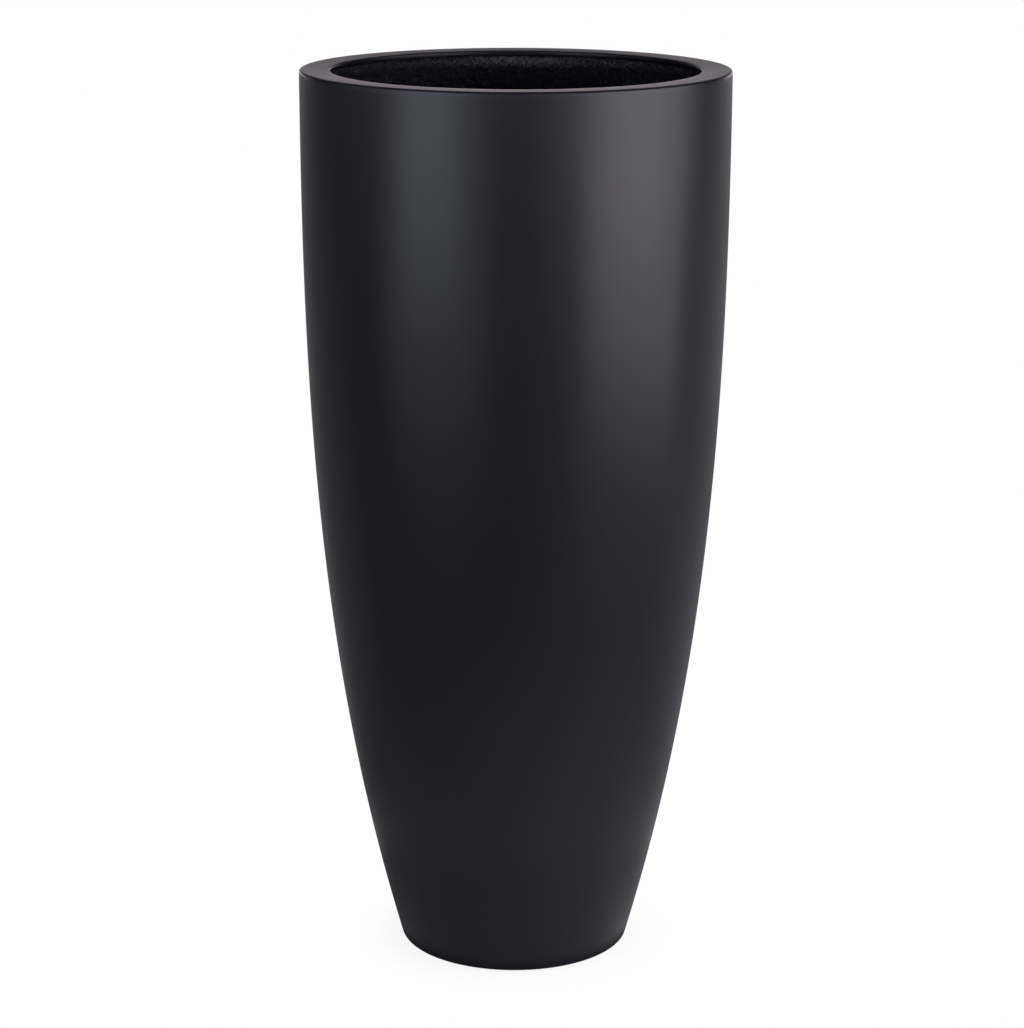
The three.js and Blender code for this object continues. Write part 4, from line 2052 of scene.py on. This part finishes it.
    def _to_camera(self, g: Graph, seen: Socket, other: Socket, output: str) -> None:
        """Shows one shader to the camera and another to every other ray.

        Args:
            g: the node tree.
            seen: what the camera sees.
            other: what the other rays meet.
            output: the type name of the tree's output node.
        """
        camera = g.link("ShaderNodeLightPath")
        whole = g.link("ShaderNodeMixShader", {0: camera, 1: other, 2: seen})
        g.feed(g.node(output).inputs["Surface"], whole)

    def _glow(self, g: Graph, x: Socket, y: Socket, away: Socket) -> Socket:
        """Makes the floor's glow in reflections, which is another in front than behind.

        Args:
            g: the floor's node tree.
            x: the place's X.
            y: the place's Y.
            away: the distance from the axis.

        Returns:
            The strength's output socket.
        """
        spot = g.remap(away, self.spot_near, self.spot_far, self.spot_level, 0.0)
        glow = g.plus(spot, g.remap(away, self.floor_from, self.floor_to, 0.0, self.floor_level))
        behind = g.remap(g.over(y, away), *self.behind_turn)
        left = g.remap(away, self.behind_from, self.behind_to, self.behind_near, self.behind_far)
        right = g.remap(away, self.floor_from, self.floor_to, self.behind_right, self.behind_far)
        turned = g.remap(g.over(x, away), *self.middle_turn)
        back = g.plus(left, g.times(turned, g.minus(right, left)))
        change = g.minus(back, glow)
        glow = g.plus(glow, g.times(behind, change))
        side = g.over(g.times(x, self.right_gain), away)
        glow = g.times(glow, g.plus(1.0, side))
        return g.times(glow, g.remap(away, self.contact_near, self.contact_far))

    def _floor(self) -> None:
        """Makes the floor: white to the camera, but for the planter's soft shadow close to the foot."""
        half = self.floor_size / 2
        mesh = bpy.data.meshes.new("studio_floor")
        corners = [(-half, -half), (half, -half), (half, half), (-half, half)]
        mesh.from_pydata([(x, y, -self.floor_drop) for x, y in corners], [], [(0, 1, 2, 3)])
        floor = put_in("studio_floor", mesh)
        material = bpy.data.materials.new("pale_floor")
        g = Graph(emptied(material))
        x, y, _ = g.separate(g.node("ShaderNodeTexCoord").outputs["Object"])
        away = g.math("SQRT", g.plus(g.times(x, x), g.times(y, y)))
        shadow = g.remap(away, self.shadow_near, self.shadow_far, self.shadow_share, 0.0)
        # Where nothing shades the floor, its glow and the light on it add up to white.
        seen = self._sum(g, g.minus(1.0, g.times(shadow, self.paper_level)), shadow)
        mirrored = self._sum(g, self._glow(g, x, y, away), self.floor_colour, self.floor_tint)
        self._to_camera(g, seen, mirrored, "ShaderNodeOutputMaterial")
        mesh.materials.append(material)


@dataclass(frozen=True)
class Viewpoint:
    """Where the camera stands and how it looks.

    Attributes:
        distance: metres in front of the axis.
        height: metres above the floor.
        down: how far it looks down, in radians.
        roll: how far it leans, in radians.
        turn: how far it looks to the left, in radians.
        lens: the focal length, in millimetres.
        sensor: the width of the film, in millimetres.
    """

    distance: float = 2.8752
    height: float = 1.1946
    down: float = 0.2529
    roll: float = 0.0020
    turn: float = 0.0010
    lens: float = 102.71
    sensor: float = 36.0

    def build(self) -> None:
        """Makes the camera and gives it to the scene."""
        data = bpy.data.cameras.new("camera")
        data.lens = self.lens
        data.sensor_width = self.sensor
        camera = put_in("camera", data)
        place = Matrix.Translation((0.0, -self.distance, self.height))
        facing = Matrix.Rotation(self.turn, 4, "Z") @ Matrix.Rotation(math.pi / 2 - self.down, 4, "X")
        camera.matrix_world = place @ facing @ Matrix.Rotation(self.roll, 4, "Z")
        bpy.context.scene.camera = camera


# ---- The whole ----


# The lip's outer radius is its largest X, and its top is the planter's.
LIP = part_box("lip_ring")[1]
WALL = WallRule(mouth_radius=LIP.x, top=LIP.z, foot=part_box("shell")[0].z)

PAINT = MattPaint("matt_black_paint", (0.0086, 0.0083, 0.0122), roughness=0.29, specular=0.30)
LAMINATE = RawLaminate("raw_black_laminate", (0.0042, 0.0052, 0.0130), roughness=0.44, specular=0.46,
                       grit_size=3.4 * MM, grit_depth=3.4 * MM, tint_strength=4.5)
# Pools of resin, paler patches of glass and the painted band of light under the lip, which are alike on the
# tape and its strands.
PATCHES_AND_PAINTED_LIGHT = {
    "pool_roughness": 0.25,
    "patch_strength": 0.6,
    "patch_seed": 248.0,
    "fade_low": LIP.z - 23 * MM,
    "fade_share": 0.05,
}
# The tape's and the glass's pale colours show fully only in the band just under the lip: painted light that
# falls there.
LIP_TAPE = RawLaminate("resin_rich_tape", (0.112, 0.107, 0.118), roughness=0.46, specular=0.35,
                       grit_size=2.0 * MM, grit_depth=0.35 * MM, tint_strength=2.4,
                       fade_high=LIP.z - 11 * MM, **PATCHES_AND_PAINTED_LIGHT)
LIP_GLASS = RawLaminate("wetted_glass", (0.190, 0.180, 0.190), roughness=0.40, specular=0.45,
                        tint_strength=1.6, fade_high=LIP.z - 12 * MM, **PATCHES_AND_PAINTED_LIGHT)
BASE_TAPE = RawLaminate("laid_floor_tape", (0.0110, 0.0108, 0.0125), roughness=0.42, specular=0.5,
                        pool_roughness=0.25)
TOPCOAT = ResinTopcoat("brushed_topcoat", (0.0050, 0.0050, 0.0055), roughness=0.42, specular=0.5)
PUTTY = TrowelledPutty("grey_putty", (0.042, 0.042, 0.045), roughness=0.7, specular=0.3)
RUBBER = MouldedRubber("black_rubber", (0.0060, 0.0060, 0.0062), roughness=0.62, specular=0.4)

COOL = (0.96, 0.98, 1.16)
NEUTRAL = (1.0, 0.955, 1.06)
STUDIO = Studio(softboxes=(
    Softbox("left_softbox", azimuth=-44, low=0.40, width=1.15, level=1.6, colour=COOL),
    Softbox("left_silk", azimuth=-42, low=0.10, width=2.1, level=0.95, colour=COOL),
    Softbox("right_softbox", azimuth=60, low=0.35, width=1.25, level=2.5, colour=NEUTRAL),
    Softbox("right_silk", azimuth=64, low=0.02, width=2.4, level=1.9, colour=NEUTRAL),
    Softbox("right_wall", azimuth=60, low=0.40, width=4.2, level=1.0, colour=NEUTRAL),
))


def build_planter() -> None:
    """Builds every sub-assembly of the planter."""
    shop = Workshop(WALL, TurningTree(), StrandTree())
    shell = Shell(shop, PAINT, LAMINATE)
    floor = Floor(shop, shell, TOPCOAT, BASE_TAPE, PUTTY)
    parts = (
        shell,
        Lip(shop, shell, PAINT, LIP_TAPE, LIP_GLASS),
        floor,
        DrainPlug(shop, floor, RUBBER),
        FootPads(shop, shell, RUBBER),
    )
    for part in parts:
        part.build()


def main() -> None:
    """Builds the camera, the studio and the planter, and writes the sizes down."""
    logging.basicConfig(level=logging.INFO, format="%(name)s: %(message)s")
    bpy.context.scene.view_settings.view_transform = "Standard"
    Viewpoint().build()
    STUDIO.build()
    build_planter()


if __name__ == "__main__":
    main()
